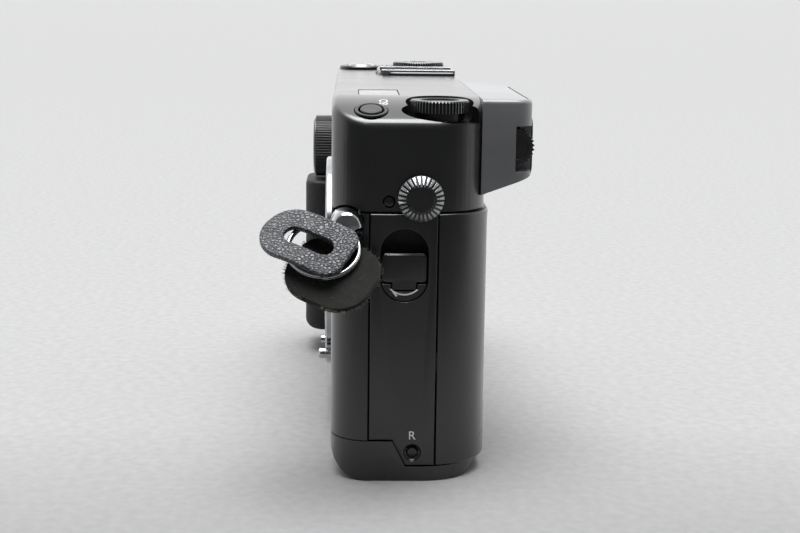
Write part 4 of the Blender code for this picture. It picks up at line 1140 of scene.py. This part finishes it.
# ---------------------------------------------------------------- studio
class CAMERA_OT_stage(bpy.types.Operator):
    """Set up the paper floor, the soft lights and the camera"""
    bl_idname = "camera_looks.stage"
    bl_label = "Studio"

    def execute(self, context):
        self.floor()
        self.lights()
        self.viewpoint()
        return {"FINISHED"}

    def floor(self):
        tree, shader, place = new_finish("studio_paper")
        # speckled, and painted greyer towards the viewer: a painted shade for the light that falls off there
        fibre = add_node(tree, "ShaderNodeTexNoise", {"Scale": 420.0, "Detail": 5.0}, {"Vector": place})
        axes = add_node(tree, "ShaderNodeSeparateXYZ", (), {0: place})
        viewer_side_painted_shade = spread(tree, axes.outputs["X"], 1.0, 0.0, 0.028, 0.29)
        level = add_node(tree, "ShaderNodeMath", {"operation": "MULTIPLY"},
                         {0: viewer_side_painted_shade, 1: spread(tree, fibre.outputs["Fac"], 0.86, 1.0)})
        tone = Vector(colours().floor)
        # painted shade: the paper's colour falls towards a tenth of its tone on the way to the viewer
        two_tone(tree, shader, level.outputs["Value"], tone * 0.1, tone)
        shader.inputs["Roughness"].default_value = 0.85
        bm = bmesh.new()
        bmesh.ops.create_grid(bm, x_segments=1, y_segments=1, size=200.0)
        mesh = bpy.data.meshes.new("studio_floor")
        bm.to_mesh(mesh)
        bm.free()
        mesh.materials.append(FINISH["studio_paper"])
        obj = bpy.data.objects.new("studio_floor", mesh)
        bpy.context.scene.collection.objects.link(obj)

    def lights(self):
        world = bpy.data.worlds.new("studio")
        bpy.context.scene.world = world
        world.use_nodes = True
        tree = world.node_tree
        sky = tree.nodes["Background"]
        # bright behind the camera body, dimmer where the viewer stands, with a lit ceiling overhead
        place = add_node(tree, "ShaderNodeTexCoord").outputs["Generated"]
        axes = add_node(tree, "ShaderNodeSeparateXYZ", (), {0: place})
        level = spread(tree, axes.outputs["X"], 1.22, 0.1, -0.6, 0.45)
        ceiling = add_node(tree, "ShaderNodeMath", {"operation": "ADD"},
                           {0: level, 1: spread(tree, axes.outputs["Z"], 0.0, 11.0, 0.88, 0.97)})
        tree.links.new(ceiling.outputs["Value"], sky.inputs["Strength"])
        sky.inputs["Color"].default_value = (1.0, 1.0, 1.01, 1.0)
        for name, at, size, power in (("overhead", (0.05, 0.0, 1.2), 0.6, 0.8),
                                      ("left", (0.0, -1.0, 0.4), 0.7, 0.3),
                                      ("right", (0.0, 1.0, 0.4), 0.7, 0.3)):
            light = bpy.data.lights.new(name, "AREA")
            light.size = size
            light.energy = power
            obj = bpy.data.objects.new(name, light)
            obj.location = at
            obj.rotation_euler = (Vector((0, 0, 0.04)) - Vector(at)).to_track_quat("-Z", "Y").to_euler()
            bpy.context.scene.collection.objects.link(obj)

    def viewpoint(self):
        heading = VIEW_HEADING.normalized()
        pitch = math.radians(VIEW_PITCH)
        roll = math.radians(VIEW_ROLL)
        forward = heading * math.cos(pitch) - Vector((0, 0, 1)) * math.sin(pitch)
        right = heading.cross(Vector((0, 0, 1)))
        down = forward.cross(right)
        side = right * math.cos(roll) - down * math.sin(roll)
        low = right * math.sin(roll) + down * math.cos(roll)
        camera = bpy.data.cameras.new("viewpoint")
        camera.sensor_width = 36.0
        camera.lens = VIEW_LENS
        camera.clip_start = 0.01
        camera.clip_end = 500.0
        obj = bpy.data.objects.new("viewpoint", camera)
        obj.matrix_world = Matrix.Translation(VIEW_FROM * MM) @ \
            Matrix((side, -low, -forward)).transposed().to_4x4()
        bpy.context.scene.collection.objects.link(obj)
        bpy.context.scene.camera = obj
        bpy.context.scene.view_settings.view_transform = "Standard"


class CAMERA_PT_looks(bpy.types.Panel):
    """Sidebar panel with every step and setting"""
    bl_label = "Rangefinder camera"
    bl_idname = "CAMERA_PT_looks"
    bl_space_type = "VIEW_3D"
    bl_region_type = "UI"
    bl_category = "Camera"

    def draw(self, context):
        for step in STEPS:
            self.layout.operator(step.bl_idname)
        for group in (context.scene.camera_sizes, context.scene.camera_colours):
            for key in group.__annotations__:
                self.layout.prop(group, key)


STEPS = (CAMERA_OT_finishes, CAMERA_OT_top_cover, CAMERA_OT_body_covers, CAMERA_OT_door, CAMERA_OT_grip,
         CAMERA_OT_finder, CAMERA_OT_top_controls, CAMERA_OT_latch, CAMERA_OT_sync, CAMERA_OT_lugs,
         CAMERA_OT_guard, CAMERA_OT_mount, CAMERA_OT_marks, CAMERA_OT_stage)
CLASSES = (CameraSizes, CameraColours) + STEPS + (CAMERA_PT_looks,)


def register():
    for cls in CLASSES:
        bpy.utils.register_class(cls)
    bpy.types.Scene.camera_sizes = bpy.props.PointerProperty(type=CameraSizes)
    bpy.types.Scene.camera_colours = bpy.props.PointerProperty(type=CameraColours)


def unregister():
    del bpy.types.Scene.camera_colours
    del bpy.types.Scene.camera_sizes
    for cls in reversed(CLASSES):
        bpy.utils.unregister_class(cls)


def main():
    register()
    for step in STEPS:
        group, name = step.bl_idname.split(".")
        getattr(getattr(bpy.ops, group), name)()


if __name__ == "__main__":
    main()
